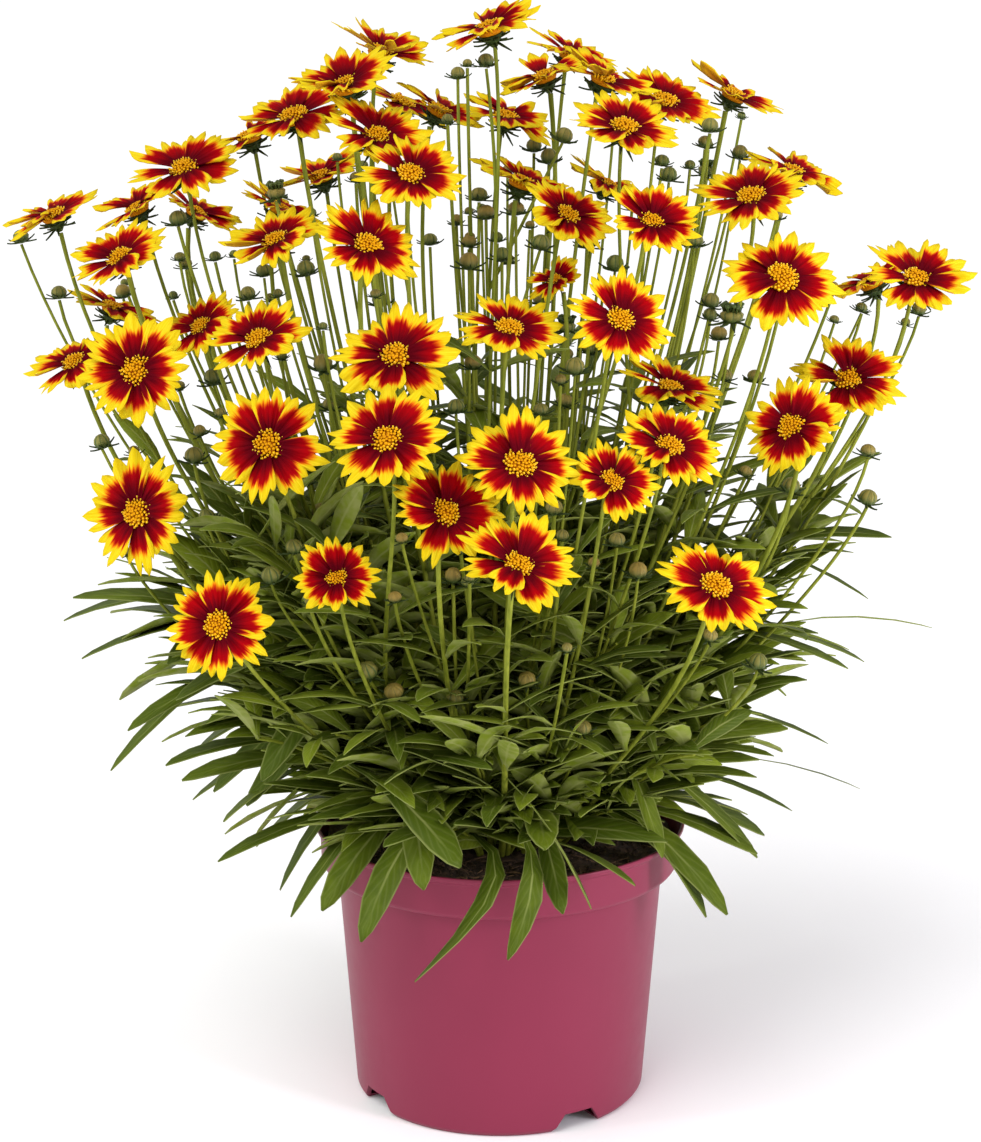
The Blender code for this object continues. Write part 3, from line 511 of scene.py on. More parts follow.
def budStalks(stems, frames):
    places = [(row["pixel"], row["back"], growth["headRadius"]) for row in witheredHeads]
    places += [(pixel, back, growth["budRadius"]) for back, group in buds.items()
               for pixel in group]
    long, branched = [], []
    for number, (pixel, back, radius) in enumerate(places):
        for shift in (0, 0.02, -0.02, 0.04, -0.04, 0.06, -0.06):
            centre = placeAt(pixel, back + shift)
            ends = [centre + up * radius * k for k in (-0.5, 0.8)]
            if any(meetsBloom(point, frames, (), 0.5 * radius) for point in ends):
                continue
            stem = budStem(number, centre, radius, frames)
            if stem:
                long.append((stem, centre, radius))
                break
            stem = branchStem(centre, radius, stems, frames)
            if stem:
                branched.append((stem, centre, radius))
                break
    for number in range(growth["youngStems"]):
        # young buds half hidden behind and below the blooms
        draw = random.Random(31000 + number)
        place, normal, span = frames[draw.randrange(len(frames))]
        radius = growth["budRadius"] * draw.uniform(0.55, 0.8)
        aside, behind = draw.uniform(-0.026, 0.026), draw.uniform(0.012, 0.06)
        centre = place + Vector((aside, behind, draw.uniform(-0.065, -0.012)))
        centre.y = min(centre.y, 0.150)
        if centre.z < 0.27 or meetsBloom(centre, frames, (), radius):
            continue
        stem = budStem(500 + number, centre, radius, frames)
        if stem:
            long.append((stem, centre, radius))
    return long, branched


# trees of nodes are put together with these
def put(tree, kind, inputs=(), **settings):
    made = tree.nodes.new(kind)
    for name, value in settings.items():
        setattr(made, name, value)
    pairs = inputs.items() if isinstance(inputs, dict) else enumerate(inputs)
    for key, value in pairs:
        if value is None:
            continue
        if isinstance(value, bpy.types.Node):
            value = value.outputs[0]
        if isinstance(value, bpy.types.NodeSocket):
            tree.links.new(value, made.inputs[key])
        else:
            made.inputs[key].default_value = value
    return made


def newTree(name, sockets):
    tree = bpy.data.node_groups.new(name, "GeometryNodeTree")
    tree.interface.new_socket("Geometry", in_out="INPUT", socket_type="NodeSocketGeometry")
    tree.interface.new_socket("Geometry", in_out="OUTPUT", socket_type="NodeSocketGeometry")
    for label, kind in sockets:
        tree.interface.new_socket(label, in_out="INPUT", socket_type="NodeSocket" + kind)
    return tree, tree.nodes.new("NodeGroupInput"), tree.nodes.new("NodeGroupOutput")


def named(tree, name, kind="FLOAT_VECTOR"):
    return put(tree, "GeometryNodeInputNamedAttribute", [name], data_type=kind).outputs[0]


def coloured(tree, start, geometry, look, selection=None):
    parts = {"Geometry": geometry, "Selection": selection, "Material": start.outputs[look]}
    return put(tree, "GeometryNodeSetMaterial", parts)


def twoLooks(tree, start, geometry, look, underLook):
    # the second look goes to the faces marked "under"
    first = coloured(tree, start, geometry, look)
    marked = {2: named(tree, "under", "INT"), 3: 1}
    under = put(tree, "FunctionNodeCompare", marked, data_type="INT", operation="EQUAL")
    return coloured(tree, start, first, underLook, under)


def shapesOf(tree, start, label):
    wanted = {"Collection": start.outputs[label], "Separate Children": True, "Reset Children": True}
    return put(tree, "GeometryNodeCollectionInfo", wanted)


def copiesOf(tree, start, label):
    # copies of the shapes at the guide's points, each with its own pick, turn and stretch
    turned = put(tree, "FunctionNodeEulerToRotation", [named(tree, "turnBy")])
    copies = put(tree, "GeometryNodeInstanceOnPoints", {
        "Points": start.outputs[0], "Instance": shapesOf(tree, start, label), "Pick Instance": True,
        "Instance Index": named(tree, "pick", "INT"), "Rotation": turned, "Scale": named(tree, "stretch")})
    return put(tree, "GeometryNodeRealizeInstances", [copies])


def joinedParts(tree, parts):
    joined = put(tree, "GeometryNodeJoinGeometry")
    for part in reversed(parts):
        tree.links.new(part.outputs[0], joined.inputs[0])
    return joined


def linked(name, data):
    made = bpy.data.objects.new(name, data)
    bpy.context.scene.collection.objects.link(made)
    return made


def grow(name, guide, tree, values):
    # runs a tree on a guide mesh and returns the plain mesh it makes
    holder = linked(name, guide)
    nodesOn = holder.modifiers.new("grow", "NODES")
    nodesOn.node_group = tree
    for item in tree.interface.items_tree:
        if item.in_out == "INPUT" and item.name in values:
            nodesOn[item.identifier] = values[item.name]
    graph = bpy.context.evaluated_depsgraph_get()
    made = bpy.data.meshes.new_from_object(holder.evaluated_get(graph), depsgraph=graph)
    bpy.data.objects.remove(holder, do_unlink=True)
    made.name = name
    return made


def guideMesh(name, points, edges=(), **attributes):
    mesh = bpy.data.meshes.new(name)
    mesh.from_pydata(points, list(edges), [])
    for label, values in attributes.items():
        if isinstance(values[0], (int, float)):
            kind = "INT" if isinstance(values[0], int) else "FLOAT"
            mesh.attributes.new(label, kind, "POINT").data.foreach_set("value", values)
        else:
            flat = [part for value in values for part in value]
            mesh.attributes.new(label, "FLOAT_VECTOR", "POINT").data.foreach_set("vector", flat)
    return mesh


def asPiece(name, mesh, node, smooth=True):
    piece = linked(name, mesh)
    if smooth:
        mesh.shade_smooth()
    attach(piece, "root")
    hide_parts(node)


def meshOf(name, body):
    # the finished mesh of a closed body, with its faces turned outward
    bmesh.ops.recalc_face_normals(body, faces=body.faces)
    mesh = bpy.data.meshes.new(name)
    body.to_mesh(mesh)
    body.free()
    mesh.shade_smooth()
    return mesh


def helperObject(name, mesh):
    # a shape that trees copy, kept out of the scene
    return bpy.data.objects.new(name, mesh)


def sheet(name, acrossSteps, alongSteps, at, thickness):
    # a thin closed sheet; "mark" keeps how far across and along each point lies
    body = bmesh.new()
    mark = body.verts.layers.float_vector.new("mark")
    second = body.faces.layers.int.new("under")
    rows = []
    for side in (1, -1):
        for v in alongSteps:
            row = []
            for u in acrossSteps:
                vert = body.verts.new(at(u, v) + Vector((0, 0, side * thickness / 2)))
                vert[mark] = (u, v, side)
                row.append(vert)
            rows.append(row)
    high, low = rows[:len(alongSteps)], rows[len(alongSteps):]
    for grid, side in ((high, 0), (low, 1)):
        for near, far in zip(grid, grid[1:]):
            for i in range(len(near) - 1):
                body.faces.new((near[i], near[i + 1], far[i + 1], far[i]))[second] = side
    rim = [(k, 0) for k in range(len(alongSteps))]
    rim += [(len(alongSteps) - 1, i) for i in range(1, len(acrossSteps))]
    rim += [(k, len(acrossSteps) - 1) for k in range(len(alongSteps) - 2, -1, -1)]
    rim += [(0, i) for i in range(len(acrossSteps) - 2, 0, -1)]
    for (k, i), (m, j) in zip(rim, rim[1:] + rim[:1]):
        body.faces.new((high[k][i], high[m][j], low[m][j], low[k][i]))
    return meshOf(name, body)


def merged(name, meshes, second=()):
    # joins small shapes; those whose number is in "second" get the second material
    body = bmesh.new()
    for number, mesh in enumerate(meshes):
        held = len(body.faces)
        body.from_mesh(mesh)
        body.faces.ensure_lookup_table()
        under = body.faces.layers.int.get("under") or body.faces.layers.int.new("under")
        for face in body.faces[held:]:
            face[under] = 1 if number in second else 0
            face.smooth = True
    mesh = bpy.data.meshes.new(name)
    body.to_mesh(mesh)
    body.free()
    return mesh


def lathe(name, profile, steps, wobble=None):
    # turns a closed profile of radius and height into a closed body
    body = bmesh.new()
    mark = body.verts.layers.float_vector.new("mark")
    rings = []
    for radius, height in profile:
        if radius == 0:
            rings.append([body.verts.new((0, 0, height))])
            continue
        ring = []
        for step in range(steps):
            turn = 2 * math.pi * step / steps
            point = Vector((radius * math.cos(turn), radius * math.sin(turn), height))
            if wobble:
                point.z += wobble(point)
            vert = body.verts.new(point)
            vert[mark] = (step / steps, height, 0)
            ring.append(vert)
        rings.append(ring)
    onAxis = profile[0][0] == 0 and profile[-1][0] == 0
    for near, far in zip(rings, rings[1:] + ([] if onAxis else rings[:1])):
        if len(near) == 1 and len(far) == 1:
            continue
        for step in range(steps):
            after = (step + 1) % steps
            if len(near) == 1:
                body.faces.new((near[0], far[after], far[step]))
            elif len(far) == 1:
                body.faces.new((near[step], near[after], far[0]))
            else:
                body.faces.new((near[step], near[after], far[after], far[step]))
    return meshOf(name, body)


def rounded(profile, radius):
    # eases each corner of a closed profile, apart from those on the axis
    eased = []
    count = len(profile)
    for number, here in enumerate(profile):
        if here[0] == 0:
            eased.append(here)
            continue
        here = Vector(here)
        start, end = (
            here + way * min(0.42, radius / max(way.length, 1e-6))
            for way in (Vector(profile[number - 1]) - here, Vector(profile[(number + 1) % count]) - here))
        for t in (0.0, 0.35, 0.65, 1.0):
            spot = start * (1 - t) ** 2 + here * (2 * t * (1 - t)) + end * t**2
            eased.append((spot.x, spot.y))
    return eased


# shading: each material starts from a name, a base roughness and its own nodes
def newMaterial(name, roughness, **sockets):
    made = bpy.data.materials.new(name)
    made.use_nodes = True
    tree = made.node_tree
    surface = tree.nodes["Principled BSDF"]
    surface.inputs["Roughness"].default_value = roughness
    for label, value in sockets.items():
        surface.inputs[label.replace("_", " ")].default_value = value
    return made, tree, surface


def calc(tree, operation, *values, **settings):
    return put(tree, "ShaderNodeMath", values, operation=operation, **settings).outputs[0]


def blend(tree, share, first, second):
    node = put(tree, "ShaderNodeMix", {0: share}, data_type="RGBA", blend_type="MIX")
    for key, value in ((6, first), (7, second)):
        if isinstance(value, bpy.types.NodeSocket):
            tree.links.new(value, node.inputs[key])
        else:
            node.inputs[key].default_value = (*value, 1)
    return node.outputs[2]


def ramp(tree, value, low, high):
    # 0 below low, 1 above high, eased between
    node = put(tree, "ShaderNodeMapRange", {0: value, 1: low, 2: high}, interpolation_type="SMOOTHSTEP")
    return node.outputs[0]


def restOf(tree, value):
    return calc(tree, "SUBTRACT", 1.0, value)


def waves(tree, value, count):
    return calc(tree, "SINE", calc(tree, "MULTIPLY", value, count))


def noiseOf(tree, vector, scale, detail=2.0, roughness=0.5):
    values = {"Vector": vector, "Scale": scale, "Detail": detail, "Roughness": roughness}
    return put(tree, "ShaderNodeTexNoise", values).outputs[0]


def objectPoint(tree, scale=(1, 1, 1)):
    coords = put(tree, "ShaderNodeTexCoord")
    return put(tree, "ShaderNodeMapping", {0: coords.outputs["Object"], 3: scale}).outputs[0]


def markOf(tree):
    made = put(tree, "ShaderNodeAttribute", attribute_name="mark")
    return list(put(tree, "ShaderNodeSeparateXYZ", [made.outputs["Vector"]]).outputs)


def valueOf(tree, name):
    return put(tree, "ShaderNodeAttribute", attribute_name=name).outputs["Fac"]


def petalPoint(tree, parts, scales):
    # a place for noise that runs along a petal and differs from petal to petal
    scaled = [calc(tree, "MULTIPLY", part, scale) for part, scale in zip(parts, scales)]
    return put(tree, "ShaderNodeCombineXYZ", scaled).outputs[0]


def paint(tree, surface, colour):
    tree.links.new(colour, surface.inputs["Base Color"])


def bumpFrom(tree, surface, height, strength, distance):
    node = put(tree, "ShaderNodeBump", {"Height": height, "Strength": strength, "Distance": distance})
    tree.links.new(node.outputs[0], surface.inputs["Normal"])


potLook = {
    "base": (0.218, 0.022, 0.055),
    "deep": (0.174, 0.018, 0.044),
    "even": 0.8,
    "roughness": 0.42,
    "roughnessRange": 0.10,
    "shine": 0.22,
    "cloudScale": 16.0,
    "grainScale": 150.0,
    "waveScale": 60.0,
}


def potMaterial():
    made, tree, surface = newMaterial("potSkin", potLook["roughness"], Specular_IOR_Level=potLook["shine"])
    cloud = noiseOf(tree, objectPoint(tree), potLook["cloudScale"], 3.0)
    tint = blend(tree, ramp(tree, cloud, 0.3, 0.7), potLook["deep"], potLook["base"])
    paint(tree, surface, blend(tree, potLook["even"], tint, potLook["base"]))
    grain = noiseOf(tree, objectPoint(tree), potLook["grainScale"])
    least = potLook["roughness"] - potLook["roughnessRange"] / 2
    rough = calc(tree, "MULTIPLY_ADD", grain, potLook["roughnessRange"], least)
    tree.links.new(rough, surface.inputs["Roughness"])
    bumpFrom(tree, surface, noiseOf(tree, objectPoint(tree), potLook["waveScale"], 1.0), 0.10, 0.0010)
    return made


petalLook = {
    "maroon": (0.088, 0.0, 0.004),
    "red": (0.335, 0.0, 0.002),
    "orange": (0.72, 0.12, 0.002),
    "yellow": (0.665, 0.472, 0.004),
    # lighter yellow for mottled patches, which also serve as painted highlight on the petal ends
    "mottleAndHighlightYellow": (0.76, 0.60, 0.020),
    "backYellow": (0.62, 0.33, 0.010),
    "backRed": (0.38, 0.07, 0.010),
    "yellowFrom": 0.675,
    "margin": 0.30,
    "marginPower": 3.5,
    "edgeWidth": 0.03,
    "edgeBlur": 0.05,
    "streaksAt": (5.5, 1.3, 37.0),
    "backStreaksAt": (3.0, 1.6, 41.0),
    "finer": (4.0, 1.5, 1.0),
    "streakShift": 0.34,
    "fineShift": 0.10,
    "toneShift": -0.10,
    "pleats": 22.0,
    "pleatDepth": 0.0004,
    "roughness": 0.7,
}


def petalMaterials():
    look = petalLook
    top, tree, surface = newMaterial("petalTop", look["roughness"], Specular_IOR_Level=0.035)
    u, v, reach = markOf(tree)
    tone = valueOf(tree, "tone")
    spot = petalPoint(tree, (u, v, tone), look["streaksAt"])
    streaks = noiseOf(tree, spot, 1.0)
    finer = put(tree, "ShaderNodeVectorMath", {0: spot, 1: look["finer"]}, operation="MULTIPLY").outputs[0]
    fine = noiseOf(tree, finer, 1.0, 3.0)
    margin = calc(tree, "POWER", calc(tree, "ABSOLUTE", u), look["marginPower"])
    edge = calc(tree, "MULTIPLY_ADD", margin, look["margin"], reach)
    for value, shift in ((streaks, "streakShift"), (fine, "fineShift"), (tone, "toneShift")):
        edge = calc(tree, "MULTIPLY_ADD", calc(tree, "SUBTRACT", value, 0.5), look[shift], edge)
    low, high = look["yellowFrom"] - look["edgeWidth"], look["yellowFrom"] + look["edgeWidth"]
    deepness = ramp(tree, calc(tree, "MULTIPLY_ADD", streaks, 0.3, reach), 0.42, 0.80)
    red = blend(tree, deepness, look["maroon"], look["red"])
    # pale yellow where the fine noise is high: lighter mottling of the yellow, partly a painted highlight
    yellow = blend(tree, ramp(tree, fine, 0.35, 0.75), look["yellow"], look["mottleAndHighlightYellow"])
    warm = blend(tree, ramp(tree, edge, low - look["edgeBlur"], high), red, look["orange"])
    paint(tree, surface, blend(tree, ramp(tree, edge, low, high + look["edgeBlur"]), warm, yellow))
    pleats = waves(tree, u, look["pleats"])
    bumpFrom(tree, surface, calc(tree, "MULTIPLY_ADD", fine, 1.4, pleats), 0.35, look["pleatDepth"])

    back, tree, surface = newMaterial("petalBack", look["roughness"], Specular_IOR_Level=0.08)
    u, v = markOf(tree)[:2]
    spot = petalPoint(tree, (u, v, valueOf(tree, "tone")), look["backStreaksAt"])
    cloud = noiseOf(tree, spot, 1.0, 3.0)
    stain = calc(tree, "MULTIPLY", ramp(tree, cloud, 0.35, 0.68), ramp(tree, restOf(tree, v), 0.18, 0.55))
    paint(tree, surface, blend(tree, stain, look["backYellow"], look["backRed"]))
    bumpFrom(tree, surface, waves(tree, u, look["pleats"]), 0.3, look["pleatDepth"])
    return top, back


discLook = {
    "deep": (0.55, 0.19, 0.002),
    "gold": (0.84, 0.44, 0.004),
    "stamen": (0.92, 0.62, 0.04),
    "roughness": 0.65,
    "cloudScale": 900.0,
}


def discMaterials():
    gold, tree, surface = newMaterial("discGold", discLook["roughness"], Specular_IOR_Level=0.06)
    cloud = noiseOf(tree, objectPoint(tree), discLook["cloudScale"])
    high = calc(tree, "MULTIPLY", markOf(tree)[1], 0.45)
    outer = calc(tree, "MULTIPLY_ADD", valueOf(tree, "rank"), 0.35, high)
    share = calc(tree, "MULTIPLY_ADD", cloud, 0.5, outer)
    paint(tree, surface, blend(tree, ramp(tree, share, 0.25, 0.95), discLook["deep"], discLook["gold"]))
    stamen, tree, surface = newMaterial("stamen", discLook["roughness"], Specular_IOR_Level=0.15)
    tip = ramp(tree, markOf(tree)[1], 0.4, 0.9)
    paint(tree, surface, blend(tree, tip, discLook["gold"], discLook["stamen"]))
    return gold, stamen


stemLook = {
    "base": (0.126, 0.152, 0.010),
    "pale": (0.265, 0.295, 0.032),
    "roughness": 0.6,
    "stretch": (6, 6, 0.6),
    "streakScale": 60.0,
    "cloudScale": 22.0,
}


def stemMaterial():
    made, tree, surface = newMaterial("stemSkin", stemLook["roughness"], Specular_IOR_Level=0.1)
    streaks = noiseOf(tree, objectPoint(tree, stemLook["stretch"]), stemLook["streakScale"])
    broad = noiseOf(tree, objectPoint(tree), stemLook["cloudScale"], 1.0)
    share = calc(tree, "MULTIPLY_ADD", streaks, 0.6, calc(tree, "MULTIPLY", broad, 0.5))
    paint(tree, surface, blend(tree, ramp(tree, share, 0.35, 0.8), stemLook["base"], stemLook["pale"]))
    bumpFrom(tree, surface, streaks, 0.3, 0.0004)
    return made


leafLook = {
    "deep": (0.059, 0.091, 0.005),
    "fresh": (0.156, 0.205, 0.011),
    "rib": (0.27, 0.30, 0.09),
    "under": (0.225, 0.255, 0.066),
    "roughness": 0.5,
    "cloudScale": 130.0,
    "underCloudScale": 160.0,
    "veins": 34.0,
    "veinSlant": -7.0,
}


def leafMaterials():
    look = leafLook
    top, tree, surface = newMaterial("leafTop", look["roughness"], Specular_IOR_Level=0.10)
    u, v = markOf(tree)[:2]
    wide = calc(tree, "ABSOLUTE", u)
    cloud = noiseOf(tree, objectPoint(tree), look["cloudScale"], 3.0)
    share = calc(tree, "MULTIPLY_ADD", valueOf(tree, "tone"), 0.75, calc(tree, "MULTIPLY", cloud, 0.4))
    green = blend(tree, ramp(tree, share, 0.2, 0.95), look["deep"], look["fresh"])
    rib = calc(tree, "MULTIPLY", restOf(tree, ramp(tree, wide, 0.02, 0.13)), 0.7)
    rib = calc(tree, "MULTIPLY", rib, restOf(tree, ramp(tree, v, 0.55, 1.0)))
    margin = calc(tree, "MULTIPLY", ramp(tree, wide, 0.84, 0.98), 0.55)
    slant = calc(tree, "MULTIPLY_ADD", v, look["veins"], calc(tree, "MULTIPLY", wide, look["veinSlant"]))
    veins = calc(tree, "POWER", calc(tree, "ABSOLUTE", calc(tree, "SINE", slant)), 6.0)
    pale = calc(tree, "MAXIMUM", calc(tree, "MAXIMUM", rib, margin), calc(tree, "MULTIPLY", veins, 0.10))
    paint(tree, surface, blend(tree, pale, green, look["rib"]))
    bumpFrom(tree, surface, calc(tree, "MULTIPLY_ADD", veins, -0.5, cloud), 0.35, 0.0006)

    under, tree, surface = newMaterial("leafUnder", look["roughness"] + 0.1, Specular_IOR_Level=0.12)
    wide = calc(tree, "ABSOLUTE", markOf(tree)[0])
    cloud = noiseOf(tree, objectPoint(tree), look["underCloudScale"])
    green = blend(tree, ramp(tree, cloud, 0.3, 0.7), look["fresh"], look["under"])
    rib = restOf(tree, ramp(tree, wide, 0.03, 0.18))
    paint(tree, surface, blend(tree, calc(tree, "MULTIPLY", rib, 0.6), green, look["rib"]))
    return top, under


budLook = {
    "skin": (0.17, 0.18, 0.035),
    "ripe": (0.29, 0.20, 0.040),
    "green": (0.06, 0.095, 0.02),
    "bract": (0.028, 0.045, 0.010),
    "roughness": 0.5,
    "bractRoughness": 0.6,
    "bractCloudScale": 240.0,
}


def budMaterials():
    skin, tree, surface = newMaterial("budSkin", budLook["roughness"], Specular_IOR_Level=0.25)
    u, v = markOf(tree)[:2]
    tone = valueOf(tree, "tone")
    ribs = calc(tree, "ABSOLUTE", waves(tree, u, math.pi * 8))
    brown = blend(tree, tone, budLook["skin"], budLook["ripe"])
    ridge = ramp(tree, calc(tree, "MULTIPLY_ADD", tone, 0.5, ribs), 0.25, 0.7)
    share = calc(tree, "MULTIPLY", ramp(tree, v, 0.15, 0.75), ridge)
    paint(tree, surface, blend(tree, share, budLook["green"], brown))
    bumpFrom(tree, surface, ribs, 0.5, 0.0005)
    bract, tree, surface = newMaterial("bract", budLook["bractRoughness"], Specular_IOR_Level=0.12)
    cloud = noiseOf(tree, objectPoint(tree), budLook["bractCloudScale"])
    share = calc(tree, "MULTIPLY_ADD", cloud, 0.6, calc(tree, "MULTIPLY", markOf(tree)[1], -0.3))
    paint(tree, surface, blend(tree, ramp(tree, share, 0.1, 0.7), budLook["bract"], stemLook["base"]))
    return skin, bract


soilLook = {
    "dark": (0.020, 0.012, 0.007),
    "light": (0.125, 0.072, 0.040),
    "fibre": (0.26, 0.150, 0.070),
    "roughness": 0.95,
    "scales": {"ground": 260.0, "crumbs": 700.0, "fibres": 300.0, "crownEarth": 240.0},
}


def soilMaterial(name, dark="dark", light="light"):
    made, tree, surface = newMaterial(name, soilLook["roughness"])
    grain = noiseOf(tree, objectPoint(tree), soilLook["scales"][name], 5.0, 0.65)
    paint(tree, surface, blend(tree, ramp(tree, grain, 0.35, 0.75), soilLook[dark], soilLook[light]))
    bumpFrom(tree, surface, grain, 0.8, 0.002)
    return made


# the pot is a turned shell with notches cut from the edge of its base
def notchCutter(number):
    inside, outside = pot["baseRadius"] - pot["notchDepth"], pot["baseRadius"] + 0.006
    low, high = pot["notchBase"] / 2, pot["notchRoof"] / 2
    corners = [(-low, -0.004), (low, -0.004), (high, pot["notchHeight"]), (-high, pot["notchHeight"])]
    points = [(x, -reach, z) for reach in (inside, outside) for x, z in corners]
    sides = [(0, 1, 2, 3), (7, 6, 5, 4)] + [(k + 4, (k + 1) % 4 + 4, (k + 1) % 4, k) for k in range(4)]
    mesh = bpy.data.meshes.new(f"notchCutter{number}")
    mesh.from_pydata(points, [], sides)
    shape = bmesh.new()
    shape.from_mesh(mesh)
    bmesh.ops.recalc_face_normals(shape, faces=shape.faces)
    shape.to_mesh(mesh)
    shape.free()
    mesh.transform(Matrix.Rotation(pot["notchTurn"] + number * math.pi / 2, 4, "Z"))
    return linked(mesh.name, mesh)


def buildPot(look):
    step = pot["height"] - pot["collarHeight"]
    wall = pot["wall"]
    profile = [
        (pot["rimRadius"] - wall, pot["height"]),
        (pot["rimRadius"], pot["height"]),
        (pot["rimRadius"] - 0.0004, pot["height"] - 0.0024),
        (pot["collarRadius"] + 0.0006, pot["height"] - 0.0040),
        (pot["collarRadius"], step + 0.0022),
        (pot["collarRadius"] - 0.0014, step),
        (pot["wallTop"] + 0.0008, step - 0.0006),
        (pot["wallTop"], step - 0.0020),
        (pot["baseRadius"], 0.0026),
        (pot["baseRadius"] - 0.0022, 0.0),
        (0.0, 0.0),
        (0.0, wall),
        (pot["baseRadius"] - 0.0030, wall),
        (pot["wallTop"] - wall, step + 0.0004),
        (pot["collarRadius"] - wall - 0.0006, step + 0.0022),
    ]
    body = linked("pot_body", lathe("pot_body", rounded(profile, pot["edgeRadius"]), pot["steps"]))
    cutters = [notchCutter(number) for number in range(pot["notches"])]
    for number, cutter in enumerate(cutters):
        cut = body.modifiers.new(f"notch{number}", "BOOLEAN")
        cut.operation = "DIFFERENCE"
        cut.object = cutter
    graph = bpy.context.evaluated_depsgraph_get()
    mesh = bpy.data.meshes.new_from_object(body.evaluated_get(graph), depsgraph=graph)
    for done in [body] + cutters:
        bpy.data.objects.remove(done, do_unlink=True)
    mesh.materials.clear()
    mesh.materials.append(look)
    mesh.shade_smooth()
    mesh.set_sharp_from_angle(angle=math.radians(38))
    asPiece("pot_shell", mesh, "pot", smooth=False)


# crumbs and fibres are scattered over the top of the soil
def soilTree(outer):
    tree, start, end = newTree("soilTree", [
        ("Crumb", "Object"), ("Fibre", "Object"), ("Crumb density", "Float"), ("Fibre density", "Float"),
        ("Seed", "Int"), ("Ground look", "Material"), ("Crumb look", "Material"), ("Fibre look", "Material")])
    place = put(tree, "GeometryNodeInputPosition")
    height = put(tree, "ShaderNodeSeparateXYZ", [place]).outputs[2]
    level = put(tree, "ShaderNodeVectorMath", {0: place, 1: (1, 1, 0)}, operation="MULTIPLY")
    away = put(tree, "ShaderNodeVectorMath", [level], operation="LENGTH").outputs["Value"]
    above = put(tree, "FunctionNodeCompare", {0: height, 1: soil["top"] - 0.003}, operation="GREATER_THAN")
    within = put(tree, "FunctionNodeCompare", {0: away, 1: outer - 0.008}, operation="LESS_THAN")
    upper = put(tree, "FunctionNodeBooleanMath", [above, within], operation="AND")
    parts = [coloured(tree, start, start.outputs[0], "Ground look")]
    for label, sizes, tilt in (("Crumb", soil["crumbSize"], soil["crumbTilt"]),
                               ("Fibre", soil["fibreSize"], soil["fibreTilt"])):
        spread = put(tree, "GeometryNodeDistributePointsOnFaces", {
            "Mesh": start.outputs[0], "Selection": upper, "Density": start.outputs[label + " density"],
            "Seed": start.outputs["Seed"]})
        shape = put(tree, "GeometryNodeObjectInfo", {"Object": start.outputs[label], "As Instance": True})
        limits = {0: (-tilt, -tilt, 0), 1: (tilt, tilt, 6.28), "Seed": 3}
        spin = put(tree, "FunctionNodeRandomValue", limits, data_type="FLOAT_VECTOR")
        limits = {2: sizes[0], 3: sizes[1], "Seed": 5}
        size = put(tree, "FunctionNodeRandomValue", limits, data_type="FLOAT")
        copies = put(tree, "GeometryNodeInstanceOnPoints", {
            "Points": spread, "Instance": shape.outputs["Geometry"],
            "Rotation": put(tree, "FunctionNodeEulerToRotation", [spin]), "Scale": size.outputs[1]})
        real = put(tree, "GeometryNodeRealizeInstances", [copies])
        parts.append(coloured(tree, start, real, label + " look"))
    tree.links.new(joinedParts(tree, parts).outputs[0], end.inputs[0])
    return tree


def buildSoil(look, crumbLook, fibreLook):
    step = pot["height"] - pot["collarHeight"]
    hole = soil["crownRadius"] + 0.0010
    outer = pot["collarRadius"] - pot["wall"] - 0.0018
    profile = [(hole + (outer - hole) * k / 16, soil["top"]) for k in range(17)]
    profile += [
        (outer - 0.0010, step + 0.0040),
        (pot["wallTop"] - pot["wall"] - 0.0008, step),
        (pot["baseRadius"] - 0.0030, 0.024),
        (pot["baseRadius"] - 0.0220, pot["wall"] + 0.0003),
        (0.0, pot["wall"] + 0.0003),
        (0.0, soil["top"] - 0.0103),
        (hole, soil["top"] - 0.0103),
    ]

    def wobble(point):
        if point.z < soil["top"] - 0.0001:
            return 0
        return 0.0016 * noise.noise(point * 90) + 0.0009 * noise.noise(point * 260)

    def fibreAt(u, v):
        return Vector((u * 0.05, v * 2 - 1, 0.10 * math.sin(3 * v) + 0.03 * (1 - u * u)))

    ground = lathe("ground", profile, soil["steps"], wobble)
    draw = random.Random(soil["seed"])
    crumb = bmesh.new()
    bmesh.ops.create_icosphere(crumb, subdivisions=1, radius=1)
    for vert in crumb.verts:
        vert.co *= draw.uniform(0.7, 1.15)
    crumbMesh = bpy.data.meshes.new("crumb")
    crumb.to_mesh(crumbMesh)
    crumb.free()
    fibre = sheet("fibre", (-1, 0, 1), [k / 5 for k in range(6)], fibreAt, 0.05)
    area = math.pi * (outer**2 - hole**2)
    mesh = grow("ground_soil", ground, soilTree(outer), {
        "Crumb": helperObject("crumb", crumbMesh), "Fibre": helperObject("fibre", fibre),
        "Crumb density": soil["crumbs"] / area, "Fibre density": soil["fibres"] / area, "Seed": soil["seed"],
        "Ground look": look, "Crumb look": crumbLook, "Fibre look": fibreLook})
    asPiece("soil_bed", mesh, "soil")


# buds and cups are copies of a few shapes at the points of a guide
def placedTree():
    tree, start, end = newTree("placedTree", [
        ("Shapes", "Collection"), ("First look", "Material"), ("Second look", "Material")])
    done = twoLooks(tree, start, copiesOf(tree, start, "Shapes"), "First look", "Second look")
    tree.links.new(done.outputs[0], end.inputs[0])
    return tree


def shapeSet(name, meshes):
    # the shapes a tree picks from, in the order of their names
    group = bpy.data.collections.new(name)
    for number, mesh in enumerate(meshes):
        group.objects.link(helperObject(f"{name}{number:02d}", mesh))
    return group


stemSize = {"sides": 8, "bloom": (0.00086, 0.00122), "bud": (0.00068, 0.00092)}


